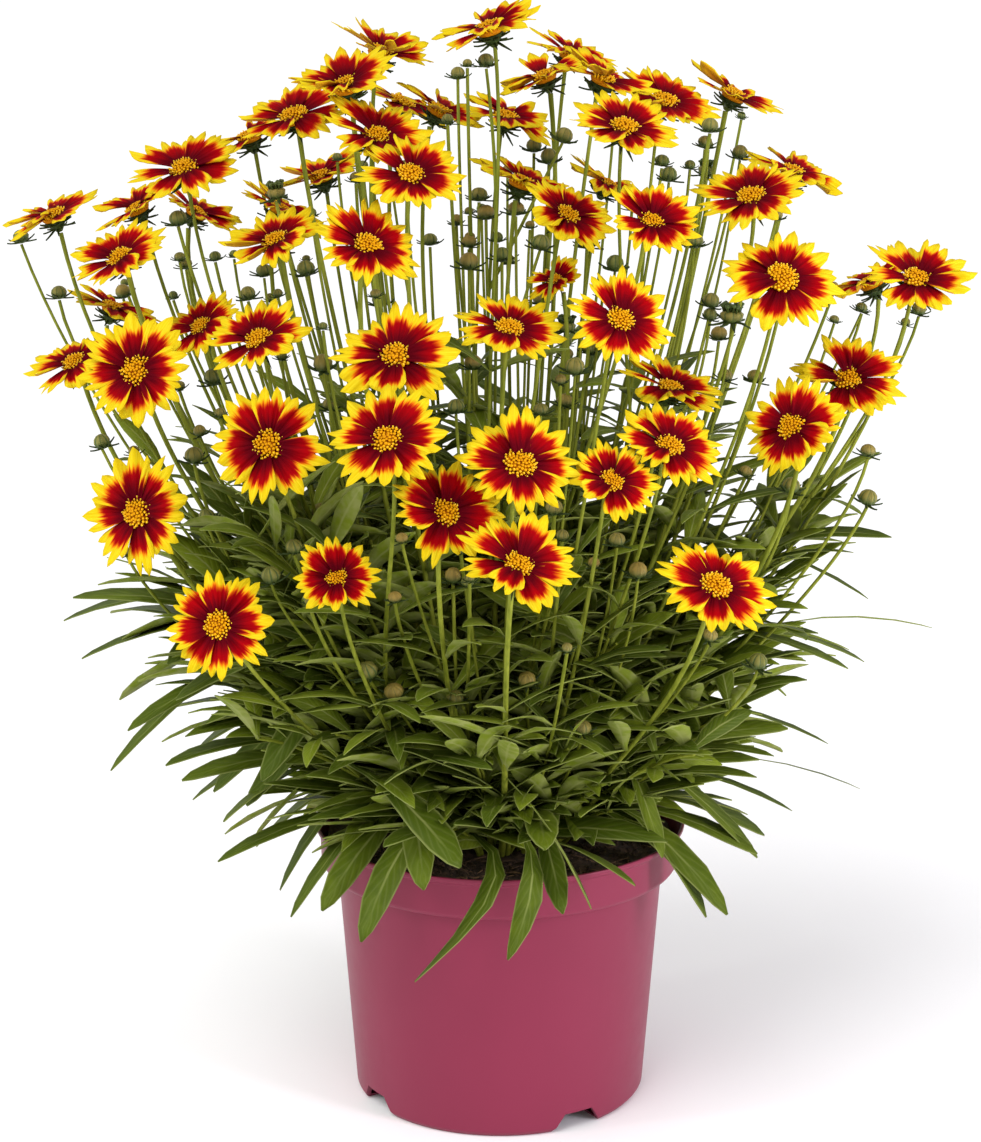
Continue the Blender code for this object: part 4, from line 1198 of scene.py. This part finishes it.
def stemTree():
    tree, start, end = newTree("stemTree", [("Sides", "Int"), ("Look", "Material")])
    radius = named(tree, "radius", "FLOAT")
    curve = put(tree, "GeometryNodeMeshToCurve", [start.outputs[0]])
    sized = put(tree, "GeometryNodeSetCurveRadius", {"Curve": curve, "Radius": radius})
    sides = {"Resolution": start.outputs["Sides"], "Radius": 1.0}
    ring = put(tree, "GeometryNodeCurvePrimitiveCircle", sides)
    parts = {"Curve": sized, "Profile Curve": ring, "Scale": radius, "Fill Caps": True}
    smooth = put(tree, "GeometryNodeSetShadeSmooth", [put(tree, "GeometryNodeCurveToMesh", parts)])
    done = coloured(tree, start, put(tree, "GeometryNodeRealizeInstances", [smooth]), "Look")
    tree.links.new(done.outputs[0], end.inputs[0])
    return tree


def buildStems(stems, stalks, shoots, look):
    points, edges, radii = [], [], []

    def run(path, steps, radiusAt):
        for step in range(steps + 1):
            if step:
                edges.append((len(points) - 1, len(points)))
            points.append(bezier(*path, step / steps))
            radii.append(radiusAt(step / steps))

    draw = random.Random(31)
    for stem in stems:
        thick = draw.uniform(*stemSize["bloom"])
        run(stem, 24, lambda t: thick * (1.55 - 0.55 * min(1, 2 * t) + max(0, t - 0.94) * 3))
    for stem, centre, radius in stalks[0]:
        thick = draw.uniform(*stemSize["bud"])
        run(stem, 20, lambda t: thick * (1.45 - 0.45 * min(1, 2 * t)))
    for stem, centre, radius in stalks[1]:
        run(stem, 10, lambda t: 0.00095 - 0.0002 * t)
    for path in shoots:
        run(path, 10, lambda t: 0.0013 - 0.0006 * t)
    guide = guideMesh("stemGuide", points, edges, radius=radii)
    mesh = grow("stems", guide, stemTree(), {"Sides": stemSize["sides"], "Look": look})
    asPiece("stems", mesh, "plant")


# outlines run from root to tip as shares of the length and of the half width
leafShape = {
    "across": 2,
    "fold": 0.16,
    "thickness": 0.07,
    "ripple": 0.05,
    "widen": {"basal": 1.25, "upper": 1.22},
    "shoots": 56,
    "skirt": 30,
    "side": 30,
    "gap": math.radians(228),
    # basal leaves take only the darker share of the leaf tones, a painted shade that keeps these low, sunlit
    # leaves dark
    "basalPaintedShade": 0.42,
    "basal": [(0, .13), (.22, .16), (.38, .40), (.54, .80), (.69, 1.0), (.84, .90), (.95, .52), (1, .08)],
    "upper": [(0, .20), (.14, .32), (.32, .74), (.52, 1.0), (.72, .90), (.89, .50), (1, .05)],
}


def leafyShoots(frames):
    # leafy shoots without a bloom, which fill the lower part of the plant
    shoots, leaves = [], []
    skirtFrom = leafShape["shoots"]
    sideFrom = skirtFrom + leafShape["skirt"]
    for number in range(sideFrom + leafShape["side"]):
        draw = random.Random(700 + number)
        heading = goldenTurn * number + draw.uniform(-0.2, 0.2)
        outward = Vector((math.cos(heading), math.sin(heading), 0))
        spread = min(1.0, math.sqrt((number + 0.5) / skirtFrom))
        foot = outward * (0.036 * spread) + up * (soil["top"] - 0.002)
        height = draw.uniform(0.15, 0.21) * (1 - 0.62 * spread)
        reach = 0.015 + 0.085 * spread * draw.uniform(0.8, 1.1)
        if number >= skirtFrom:
            height = draw.uniform(0.022, 0.045)
            reach = draw.uniform(0.030, 0.055)
            if abs(math.remainder(heading - leafShape["gap"], 2 * math.pi)) < 0.42:
                height, reach = 0.050, 0.004
        if number >= sideFrom:
            # long shoots that fill both sides, more of them at the left
            leftward = number % 5 != 0
            heading = (math.pi if leftward else 0.0) + draw.uniform(-0.85, 0.85)
            outward = Vector((math.cos(heading), math.sin(heading), 0))
            foot = outward * 0.034 + up * (soil["top"] - 0.002)
            height = draw.uniform(0.075, 0.185)
            reach = draw.uniform(0.070, 0.120)
        end = foot + outward * reach + up * height
        low = foot + outward * reach * 0.25 + up * height * 0.45
        high = foot + outward * reach * 0.75 + up * height * 0.92
        path = (foot, low, high, end)
        run = [bezier(*path, k / 20) for k in range(21)]
        if any(meetsBloom(point, frames, (), 0.003) for point in run):
            continue
        if any(meetsPot(point, 0.003) for point in run[3:]):
            continue
        shoots.append(path)
        share, turn = draw.uniform(0.12, 0.25), draw.uniform(0, 3.1)
        while share < 1.01:
            root = bezier(*path, min(1.0, share))
            for side in (0, 1):
                way = turn + math.pi * side + draw.uniform(-0.35, 0.35)
                flat = Vector((math.cos(way), math.sin(way), 0)) + outward * 0.45 * spread
                flat.normalize()
                length = draw.uniform(0.046, 0.064) * (1.1 - 0.35 * share)
                if number >= sideFrom:
                    length *= 1.3
                climb = draw.uniform(0.5, 1.7) + 0.5 * share - 0.5 * spread
                droop = draw.uniform(-0.75, 0.10)
                bend, tip = archFrom(root, flat, climb, droop, length)
                leaf = (root, bend, tip, draw.uniform(0.0070, 0.0102), draw.uniform(-1.0, 1.0))
                if leafClear(leaf, frames):
                    leaves.append(leaf)
            turn += math.pi / 2 + draw.uniform(-0.3, 0.3)
            share += draw.uniform(0.013, 0.020) / max(0.05, height)
    return shoots, leaves


def leafTree():
    # bends flat blades along each leaf's root, bend and tip
    tree, start, end = newTree("leafTree", [
        ("Blades", "Collection"), ("Top look", "Material"), ("Under look", "Material")])

    def vec(operation, *values):
        return put(tree, "ShaderNodeVectorMath", values, operation=operation).outputs[0]

    def scaled(vector, factor):
        return put(tree, "ShaderNodeVectorMath", {0: vector, "Scale": factor}, operation="SCALE").outputs[0]

    def times(first, second):
        return calc(tree, "MULTIPLY", first, second)

    copies = put(tree, "GeometryNodeInstanceOnPoints", {
        "Points": start.outputs[0], "Instance": shapesOf(tree, start, "Blades"), "Pick Instance": True,
        "Instance Index": named(tree, "pick", "INT")})
    real = put(tree, "GeometryNodeRealizeInstances", [copies])
    x, v, z = put(tree, "ShaderNodeSeparateXYZ", [named(tree, "form")]).outputs
    s = calc(tree, "SUBTRACT", 1.0, v)
    root, bend, tip = (named(tree, name) for name in ("root", "bend", "tip"))
    centre = vec("ADD", scaled(root, times(s, s)), scaled(bend, times(times(s, v), 2.0)))
    centre = vec("ADD", centre, scaled(tip, times(v, v)))
    along = vec("ADD", scaled(vec("SUBTRACT", bend, root), s), scaled(vec("SUBTRACT", tip, bend), v))
    along = vec("NORMALIZE", along)
    aside = vec("NORMALIZE", vec("CROSS_PRODUCT", along, (0, 0, 1)))
    spin = {"Vector": aside, "Axis": along, "Angle": times(named(tree, "roll", "FLOAT"), -1.0)}
    aside = put(tree, "ShaderNodeVectorRotate", spin).outputs[0]
    normal = vec("CROSS_PRODUCT", aside, along)
    half = times(named(tree, "leafWidth", "FLOAT"), 0.5)
    place = vec("ADD", centre, scaled(aside, times(x, half)))
    place = vec("ADD", place, scaled(normal, times(z, half)))
    moved = put(tree, "GeometryNodeSetPosition", {"Geometry": real, "Position": place})
    done = twoLooks(tree, start, moved, "Top look", "Under look")
    tree.links.new(done.outputs[0], end.inputs[0])
    return tree


def bladeMesh(kind):
    # across in half widths, along from 0 to 1; "form" is what the tree bends into place
    wide = [2 * k / leafShape["across"] - 1 for k in range(leafShape["across"] + 1)]
    outline = dict(leafShape[kind])

    def at(u, v):
        fold = leafShape["fold"] * abs(u) * outline[v]
        ripple = leafShape["ripple"] * abs(u) * math.sin(11 * v + 2 * u)
        return Vector((u * outline[v], v, fold + ripple))

    mesh = sheet(kind, wide, list(outline), at, leafShape["thickness"])
    form = mesh.attributes.new("form", "FLOAT_VECTOR", "POINT")
    form.data.foreach_set("vector", [c for vert in mesh.vertices for c in vert.co])
    return mesh


def buildLeaves(name, basal, upper, blades, looks):
    draw = random.Random(77)
    leaves = basal + upper
    kinds = ["basal"] * len(basal) + ["upper"] * len(upper)
    wide = [leaf[3] * leafShape["widen"][kind] for leaf, kind in zip(leaves, kinds)]
    # basal leaves draw their tone from the darker part of the range only, which paints shade on them
    tones = [draw.random() * (leafShape["basalPaintedShade"] if kind == "basal" else 1.0) for kind in kinds]
    root, bend, tip = ([tuple(leaf[k]) for leaf in leaves] for k in range(3))
    guide = guideMesh("leafGuide", [(0, 0, 0)] * len(leaves), root=root, bend=bend, tip=tip,
                      leafWidth=wide, roll=[float(leaf[4]) for leaf in leaves], tone=tones,
                      pick=[0] * len(basal) + [1] * len(upper))
    mesh = grow(name, guide, leafTree(), {"Blades": blades, "Top look": looks[0], "Under look": looks[1]})
    asPiece(name, mesh, "plant")


# bracts below buds, withered heads and blooms, in units of the radius of what they carry
bractRules = {
    "bud": {"stray": 0.2, "length": (1.2, 1.9), "width": 0.19, "rise": (-0.25, 0.45), "curl": (0.0, 0.4),
            "start": 0.30, "height": -0.68, "thick": 0.17},
    "withered": {"stray": 0.3, "length": (0.9, 1.4), "width": 0.17, "rise": (-0.6, 0.1), "curl": (-0.2, 0.3),
                 "start": 0.35, "height": -0.62, "thick": 0.13},
    "inner": {"width": 0.075, "start": 0.12, "height": -0.150, "thick": 0.022},
    "outer": {"stray": 0.2, "length": (0.22, 0.34), "width": 0.028, "rise": (-0.6, 0.1), "curl": (0.0, 0.3),
              "start": 0.09, "height": -0.215, "thick": 0.026},
}
bractCount = 8


def bractMesh(rule, turn, length, rise, curl):
    # a narrow bract that leaves its ring outward and curls
    def at(u, v):
        wide = rule["width"] * (0.55 + 0.45 * math.sin(math.pi * min(1, v + 0.15))) * (1 - v) ** 0.4
        reach = rule["start"] + length * (v - 0.5 * curl * v * v * 0.4)
        lift = rule["height"] + length * (rise * v + curl * v * v)
        return Vector((u * wide, reach, lift + 0.12 * rule["width"] * (1 - u * u)))

    mesh = sheet("bract", (-1, 0, 1), (0, 0.35, 0.72, 0.99), at, rule["thick"])
    mesh.transform(Matrix.Rotation(turn, 4, "Z"))
    return mesh


def bractRing(kind, draw):
    rule = bractRules[kind]
    ring = []
    for number in range(bractCount):
        turn = 2 * math.pi * (number + draw.uniform(-rule["stray"], rule["stray"])) / bractCount
        length, rise, curl = (draw.uniform(*rule[name]) for name in ("length", "rise", "curl"))
        ring.append(bractMesh(rule, turn, length, rise, curl))
    return ring


def ballMesh(name, profile, steps, ribs):
    mesh = lathe(name, profile, steps)
    low, high = min(h for r, h in profile), max(h for r, h in profile)
    for vert in mesh.vertices:
        turn = math.atan2(vert.co.y, vert.co.x)
        vert.co.x *= 1 + ribs * math.cos(8 * turn)
        vert.co.y *= 1 + ribs * math.cos(8 * turn)
    marks = mesh.attributes["mark"].data
    for vert, mark in zip(mesh.vertices, marks):
        turn = math.atan2(vert.co.y, vert.co.x) / (2 * math.pi)
        mark.vector = (turn, (vert.co.z - low) / (high - low), 0)
    return mesh


def budMesh(seed):
    # a round bud one unit in radius with bracts spreading from its foot
    profile = [(0, -0.85), (0.45, -0.78), (0.85, -0.40), (1.0, 0.05), (0.88, 0.50),
               (0.55, 0.84), (0.22, 0.97),
               (0, 0.98)]
    parts = [ballMesh("ball", profile, 14, 0.035)] + bractRing("bud", random.Random(seed))
    return merged("bud", parts, second=range(1, len(parts)))


def witheredMesh(seed, tuft=26):
    # a spent head: a low cup with a tuft of dry florets and reflexed bracts
    draw = random.Random(seed)
    profile = [(0, -0.85), (0.40, -0.78), (0.72, -0.45), (0.80, -0.05), (0.62, 0.12), (0, 0.20)]
    parts = [ballMesh("cup", profile, 16, 0.04)]
    for number in range(tuft):
        reach = 0.62 * math.sqrt((number + 0.5) / tuft)
        straw = stamenMesh()
        lean = Matrix.Rotation(draw.uniform(0.2, 0.9) * reach, 4, "Y")
        straw.transform(lean @ Matrix.Diagonal((1.1, 1.1, draw.uniform(0.45, 0.85), 1)))
        straw.transform(Matrix.Rotation(goldenTurn * number, 4, "Z") @ Matrix.Translation((reach, 0, 0.05)))
        parts.append(straw)
    dry = len(parts)
    parts += bractRing("withered", draw)
    return merged("withered", parts, second=range(dry, len(parts)))


def cupMesh(seed):
    # the cup below a bloom, in units of the bloom's radius, its top at the origin
    profile = [(0, -0.30), (0.055, -0.30), (0.10, -0.24), (0.17, -0.15), (0.22, -0.085), (0.20, -0.062),
               (0, -0.062)]
    parts = [ballMesh("cup", profile, 16, 0.03)]
    for number in range(bractCount):
        turn = 2 * math.pi * (number + 0.5) / bractCount
        parts.append(bractMesh(bractRules["inner"], turn, 0.24, 0.22, 0.05))
    parts += bractRing("outer", random.Random(seed))
    return merged("cup", parts, second=range(1, len(parts)))


def baseOf(normal):
    aside = normal.orthogonal().normalized()
    return Matrix((aside, normal.cross(aside), normal)).transposed()


def turnTo(normal, spin):
    return tuple((baseOf(normal) @ Matrix.Rotation(spin, 3, "Z")).to_euler())


def buildPlaced(name, rows, shapes, placed, looks):
    # each row holds a point, its turn, its stretch, the shape it picks and its tone
    points, turns, stretches, picks, tones = (list(column) for column in zip(*rows))
    guide = guideMesh(name + "Guide", points, turnBy=turns, stretch=stretches, pick=picks, tone=tones)
    values = {"Shapes": shapeSet(name, shapes), "First look": looks[0], "Second look": looks[1]}
    asPiece(name, grow(name, guide, placed, values), "plant")


def buildBuds(stalks, frames, looks):
    draw = random.Random(15)
    placed = placedTree()
    rows = []
    for stem, centre, radius in stalks[0] + stalks[1]:
        aim = ((centre - stem[2]).normalized() + up * 0.3).normalized()
        turn = turnTo(aim, draw.uniform(0, 1))
        wide = radius * draw.uniform(0.72, 0.92)
        stretch = (wide, wide, wide * draw.uniform(0.85, 1.05))
        pick = 3 if radius == growth["headRadius"] else draw.randrange(3)
        rows.append((centre, turn, stretch, pick, draw.random()))
    buildPlaced("buds", rows, [budMesh(60 + k) for k in range(3)] + [witheredMesh(66)], placed, looks)
    rows = []
    for centre, normal, radius in frames:
        turn = turnTo(normal, draw.uniform(0, 1))
        rows.append((centre, turn, (radius,) * 3, draw.randrange(3), draw.random() * 0.3))
    buildPlaced("cups", rows, [cupMesh(80 + k) for k in range(3)], placed, (looks[1], looks[1]))


def buildCrown(look):
    reach, top = soil["crownRadius"], soil["top"]
    profile = [(0, top - 0.0100), (reach - 0.004, top - 0.0100), (reach, top)]
    profile += [(reach * (1 - k / 12), top) for k in range(1, 12)] + [(0, top + 0.004)]

    def wobble(point):
        if point.z < top - 0.001:
            return 0
        rise = 0.004 * (1 - math.hypot(point.x, point.y) / reach)
        return rise + 0.0022 * noise.noise(point * 120) + 0.0012 * noise.noise(point * 330)

    mesh = lathe("crown", profile, 96, wobble)
    mesh.materials.append(look)
    asPiece("crown", mesh, "plant")


flower = {
    "florets": 76,
    "dome": 0.085,
    "petalVariants": 12,
    "roll": 0.15,
    "nod": 0.085,
    "cup": (0.0, 0.17),
    "raised": (1, 2),
    "raisedCup": 0.30,
    "floretSize": (0.045, 0.060),
    "stamenSize": (0.060, 0.095),
    "stamensFrom": 0.42,
    "stray": 0.2,
    "mound": (0.245, 0.245, 0.10),
    "halfWidths": [(0.12, 0.075), (0.3, 0.145), (0.45, 0.215), (0.6, 0.285), (0.75, 0.325), (1.0, 0.315)],
}
# the end of a petal: places across it and how far out each one reaches
teethSets = [
    [(-1, .60), (-.86, .82), (-.58, .72), (-.30, 1.0), (-.02, .77),
     (.28, .97), (.56, .71), (.86, .80), (1, .59)],
    [(-1, .58), (-.78, .84), (-.42, .73), (0, 1.0), (.42, .74), (.80, .83), (1, .60)],
    [(-1, .59), (-.88, .79), (-.62, .71), (-.36, .98), (-.04, .76),
     (.26, 1.0), (.60, .72), (.84, .83), (1, .58)],
    [(-1, .61), (-.82, .81), (-.54, .74), (-.20, 1.0), (.12, .78),
     (.44, .93), (.68, .75), (.88, .79), (1, .60)],
    [(-1, .58), (-.74, .86), (-.38, .72), (.05, .98), (.46, .73), (.80, .82), (1, .59)],
    [(-1, .62), (-.86, .78), (-.56, .73), (-.26, .96), (.02, .75),
     (.34, 1.0), (.62, .73), (.88, .78), (1, .61)],
]


def petalMesh(number):
    draw = random.Random(200 + number)
    teeth = teethSets[number % len(teethSets)]
    if number >= len(teethSets):
        teeth = [(-u, reach) for u, reach in reversed(teeth)]
    teeth = [
        (u if abs(u) == 1 else u + draw.uniform(-0.04, 0.04), reach + draw.uniform(-0.045, 0.02))
        for u, reach in teeth]
    lean, cupping, tipCurl = draw.uniform(-0.03, 0.03), draw.uniform(0.01, 0.06), draw.uniform(-0.07, 0.03)
    ends = [teeth[0]]
    for (a, x), (b, y) in zip(teeth, teeth[1:]):
        # each tooth rises steeply from its notch, so that it ends round
        part = 0.42 if y > x else 0.58
        ends += [(a + (b - a) * part, x + (y - x) * (0.64 if y > x else 0.36)), (b, y)]
    columns = [u for u, reach in ends]
    endAt = dict(ends)

    def halfAt(r):
        spots = flower["halfWidths"]
        for (a, x), (b, y) in zip(spots, spots[1:]):
            if r <= b:
                return x + (y - x) * (r - a) / (b - a)
        return spots[-1][1]

    def at(u, v):
        r = 0.13 + v * (endAt[u] - 0.13)
        x = u * halfAt(r) * (1 - 0.10 * max(0, r - 0.75) * abs(u)) + lean * v * v
        z = 0.035 + cupping * abs(u) ** 2 * v + tipCurl * v**3
        z += 0.022 * math.cos(u * math.pi * 2.5) * min(1, v * 2)
        return Vector((r, -x, z))

    mesh = sheet(f"petal{number}", columns, (0, 0.3, 0.58, 0.82, 1.0), at, 0.010)
    for mark, vert in zip(mesh.attributes["mark"].data, mesh.vertices):
        mark.vector.z = vert.co.x
    return mesh


def floretMesh():
    # a narrow tube that opens in a small star, one unit high
    body = bmesh.new()
    mark = body.verts.layers.float_vector.new("mark")
    rings = []
    for height, radius in ((-0.4, 0.32), (0.55, 0.36), (0.9, 0.5)):
        ring = []
        for k in range(5):
            turn = 2 * math.pi * k / 5
            vert = body.verts.new((radius * math.cos(turn), radius * math.sin(turn), height))
            vert[mark] = (0, max(0, height), 0)
            ring.append(vert)
        rings.append(ring)
    top = body.verts.new((0, 0, 1.05))
    top[mark] = (0, 0.35, 0)
    body.faces.new(rings[0][::-1])
    for near, far in zip(rings, rings[1:]):
        for k in range(5):
            body.faces.new((near[k], near[(k + 1) % 5], far[(k + 1) % 5], far[k]))
    for k in range(5):
        body.faces.new((rings[-1][k], rings[-1][(k + 1) % 5], top))
    return meshOf("floret", body)


def stamenMesh():
    profile = [(0, -0.3), (0.07, -0.3), (0.07, 0.62), (0.16, 0.72), (0.15, 0.92), (0, 1.0)]
    mesh = lathe("stamen", profile, 4)
    for mark, vert in zip(mesh.attributes["mark"].data, mesh.vertices):
        mark.vector = (0, max(0, vert.co.z), 0)
    return mesh


def bloomTree():
    tree, start, end = newTree("bloomTree", [
        ("Petals", "Collection"), ("Floret", "Object"), ("Stamen", "Object"), ("Floret count", "Int"),
        ("Disc radius", "Float"), ("Dome height", "Float"), ("Seed", "Int"), ("Top look", "Material"),
        ("Back look", "Material"), ("Disc look", "Material"), ("Stamen look", "Material")])
    parts = [twoLooks(tree, start, copiesOf(tree, start, "Petals"), "Top look", "Back look")]
    # florets in a sunflower spiral over a low dome
    number = put(tree, "GeometryNodeInputIndex").outputs[0]
    rank = calc(tree, "DIVIDE", calc(tree, "ADD", number, 0.5), start.outputs["Floret count"])
    turn = calc(tree, "MULTIPLY", number, goldenTurn)
    reach = calc(tree, "MULTIPLY", calc(tree, "SQRT", rank), start.outputs["Disc radius"])
    height = calc(tree, "MULTIPLY_ADD", restOf(tree, rank), start.outputs["Dome height"], 0.025)
    across, ahead = (calc(tree, "MULTIPLY", calc(tree, kind, turn), reach) for kind in ("COSINE", "SINE"))
    spot = put(tree, "ShaderNodeCombineXYZ", [across, ahead, height])
    cloud = put(tree, "GeometryNodePoints", {"Count": start.outputs["Floret count"], "Position": spot})
    values = {"Geometry": cloud, "Name": "rank", "Value": rank}
    ranked = put(tree, "GeometryNodeStoreNamedAttribute", values, data_type="FLOAT", domain="POINT")
    stray = flower["stray"]
    limits = {0: (-stray, -stray, 0), 1: (stray, stray, 6.28), "Seed": start.outputs["Seed"]}
    jitter = put(tree, "FunctionNodeRandomValue", limits, data_type="FLOAT_VECTOR")
    tilt = put(tree, "ShaderNodeCombineXYZ", {1: calc(tree, "MULTIPLY", reach, 2.6), 2: turn})
    turns = [put(tree, "FunctionNodeEulerToRotation", [angles]) for angles in (tilt, jitter)]
    facing = put(tree, "FunctionNodeRotateRotation", turns, rotation_space="LOCAL")
    limits = {0: named(tree, "rank", "FLOAT"), 1: flower["stamensFrom"]}
    outer = put(tree, "FunctionNodeCompare", limits, operation="GREATER_THAN")
    for label, sizes, selection, look in (("Floret", flower["floretSize"], None, "Disc look"),
                                          ("Stamen", flower["stamenSize"], outer, "Stamen look")):
        shape = put(tree, "GeometryNodeObjectInfo", {"Object": start.outputs[label], "As Instance": True})
        limits = {2: sizes[0], 3: sizes[1], "Seed": start.outputs["Seed"]}
        size = put(tree, "FunctionNodeRandomValue", limits, data_type="FLOAT")
        copies = put(tree, "GeometryNodeInstanceOnPoints", {
            "Points": ranked, "Selection": selection, "Instance": shape.outputs["Geometry"],
            "Rotation": facing, "Scale": size.outputs[1]})
        parts.append(coloured(tree, start, put(tree, "GeometryNodeRealizeInstances", [copies]), look))
    mound = put(tree, "GeometryNodeMeshUVSphere", {"Segments": 12, "Rings": 6, "Radius": 1.0})
    mound = put(tree, "GeometryNodeTransform", {"Geometry": mound, "Scale": flower["mound"]})
    parts.append(coloured(tree, start, mound, "Disc look"))
    smooth = put(tree, "GeometryNodeSetShadeSmooth", [joinedParts(tree, parts)])
    tree.links.new(smooth.outputs[0], end.inputs[0])
    return tree


def buildFlowers(frames, petalLooks, discLooks):
    tree = bloomTree()
    shapes = shapeSet("petal", [petalMesh(k) for k in range(flower["petalVariants"])])
    floret = helperObject("floret", floretMesh())
    stamen = helperObject("stamen", stamenMesh())
    for bloom, (centre, normal, radius) in enumerate(frames):
        draw = random.Random(4000 + bloom)
        turns, stretches, picks, tones = [], [], [], []
        tone = draw.random()
        cup = draw.uniform(*flower["cup"])
        if bloom in flower["raised"]:
            cup = flower["raisedCup"]
        for number in range(growth["petals"]):
            turn, reach, lift = petalOf(bloom, number)
            roll = flower["roll"] * draw.uniform(0.5, 1.6)
            turns.append((roll, -lift - cup - draw.gauss(0, flower["nod"]), turn))
            stretches.append((
                reach * draw.uniform(1.04, 1.11), draw.uniform(0.92, 1.14), draw.uniform(0.6, 2.2)))
            picks.append(draw.randrange(flower["petalVariants"]))
            tones.append(0.65 * tone + 0.35 * draw.random())
        guide = guideMesh("petalGuide", [(0, 0, 0)] * growth["petals"],
                          turnBy=turns, stretch=stretches, pick=picks, tone=tones)
        mesh = grow(f"flower_{bloom + 1:02d}", guide, tree, {
            "Petals": shapes, "Floret": floret, "Stamen": stamen, "Floret count": flower["florets"],
            "Disc radius": growth["discShare"] * 0.96, "Dome height": flower["dome"], "Seed": bloom,
            "Top look": petalLooks[0], "Back look": petalLooks[1],
            "Disc look": discLooks[0], "Stamen look": discLooks[1]})
        mesh.transform(Matrix.Translation(centre) @ baseOf(normal).to_4x4() @ Matrix.Scale(radius, 4))
        asPiece(f"flower_{bloom + 1:02d}", mesh, f"bloom_{bloom + 1:02d}", smooth=False)


studio = {
    "floor": (0.95, 0.95, 0.955),
    "world": 0.73,
    "sun": 1.72,
    "sunSoftness": math.radians(38),
    "sunWay": (0.45, 0.62, -1.0),
    "aim": (0, 0, 0.10),
    "exposure": 0.0,
}
strips = {
    "left": {"spot": (-1.05, -0.42, 0.35), "size": (0.07, 0.9), "power": 3.0, "colour": (1, 1, 1)},
    "right": {"spot": (0.92, -0.70, 0.38), "size": (0.24, 0.9), "power": 10.0, "colour": (0.94, 0.88, 1.0)},
}


def buildStudio():
    bpy.ops.mesh.primitive_plane_add(size=30, location=(0, 0, 0))
    floor = bpy.context.object
    floor.name = "floor"
    made, tree, surface = newMaterial("floorPale", 0.9)
    cloud = noiseOf(tree, objectPoint(tree), 3.0, 1.0)
    paint(tree, surface, blend(tree, cloud, studio["floor"], tuple(0.98 * c for c in studio["floor"])))
    floor.data.materials.append(made)
    world = bpy.data.worlds.new("studio")
    world.use_nodes = True
    world.node_tree.nodes["Background"].inputs[0].default_value = (1, 1, 1, 1)
    world.node_tree.nodes["Background"].inputs[1].default_value = studio["world"]
    bpy.context.scene.world = world
    sun = bpy.data.lights.new("sun", "SUN")
    sun.energy = studio["sun"]
    sun.angle = studio["sunSoftness"]
    linked("sun", sun).rotation_euler = Vector(studio["sunWay"]).to_track_quat("-Z", "Y").to_euler()
    for name, strip in strips.items():
        lamp = bpy.data.lights.new(name, "AREA")
        lamp.shape = "RECTANGLE"
        lamp.size, lamp.size_y = strip["size"]
        lamp.energy = strip["power"]
        lamp.color = strip["colour"]
        holder = linked(name, lamp)
        holder.location = strip["spot"]
        way = Vector(studio["aim"]) - Vector(strip["spot"])
        holder.rotation_euler = way.to_track_quat("-Z", "Y").to_euler()
    lens = bpy.data.cameras.new("view")
    lens.sensor_width = 36
    lens.lens = camera["focalPixels"] / camera["imageHeight"] * 36
    lens.clip_end = 60
    viewer = linked("view", lens)
    viewer.location = camera["place"]
    viewer.rotation_euler = Euler((math.pi / 2 - camera["down"], 0, 0))
    bpy.context.scene.camera = viewer
    bpy.context.scene.view_settings.view_transform = "Standard"
    bpy.context.scene.view_settings.exposure = studio["exposure"]


def main():
    frames = bloomFrames()
    stems = [stemPath(bloom, frames) for bloom in range(len(frames))]
    stalks = budStalks(stems, frames)
    budded = [stem for stem, centre, radius in stalks[0]]
    basal, upper = outlineLeaves(stems, frames), stemLeaves(stems + budded[::2], frames)
    print("plant laid out:", len(stems), "stems,", len(stalks[0]), "+", len(stalks[1]), "buds,",
          len(basal) + len(upper), "leaves")
    buildPot(potMaterial())
    buildSoil(soilMaterial("ground"), soilMaterial("crumbs"), soilMaterial("fibres", "light", "fibre"))
    print("pot and soil built")
    shoots, shootLeaves = leafyShoots(frames)
    print("shoots:", len(shoots), "with", len(shootLeaves), "leaves")
    buildStems(stems, stalks, shoots, stemMaterial())
    looks = leafMaterials()
    blades = shapeSet("blade", [bladeMesh("basal"), bladeMesh("upper")])
    buildLeaves("leaves", basal, upper, blades, looks)
    buildLeaves("shoot_leaves", [], shootLeaves, blades, looks)
    buildBuds(stalks, frames, budMaterials())
    buildCrown(soilMaterial("crownEarth"))
    print("stems, leaves and buds built")
    buildFlowers(frames, petalMaterials(), discMaterials())
    print("flowers built")
    buildStudio()


main()
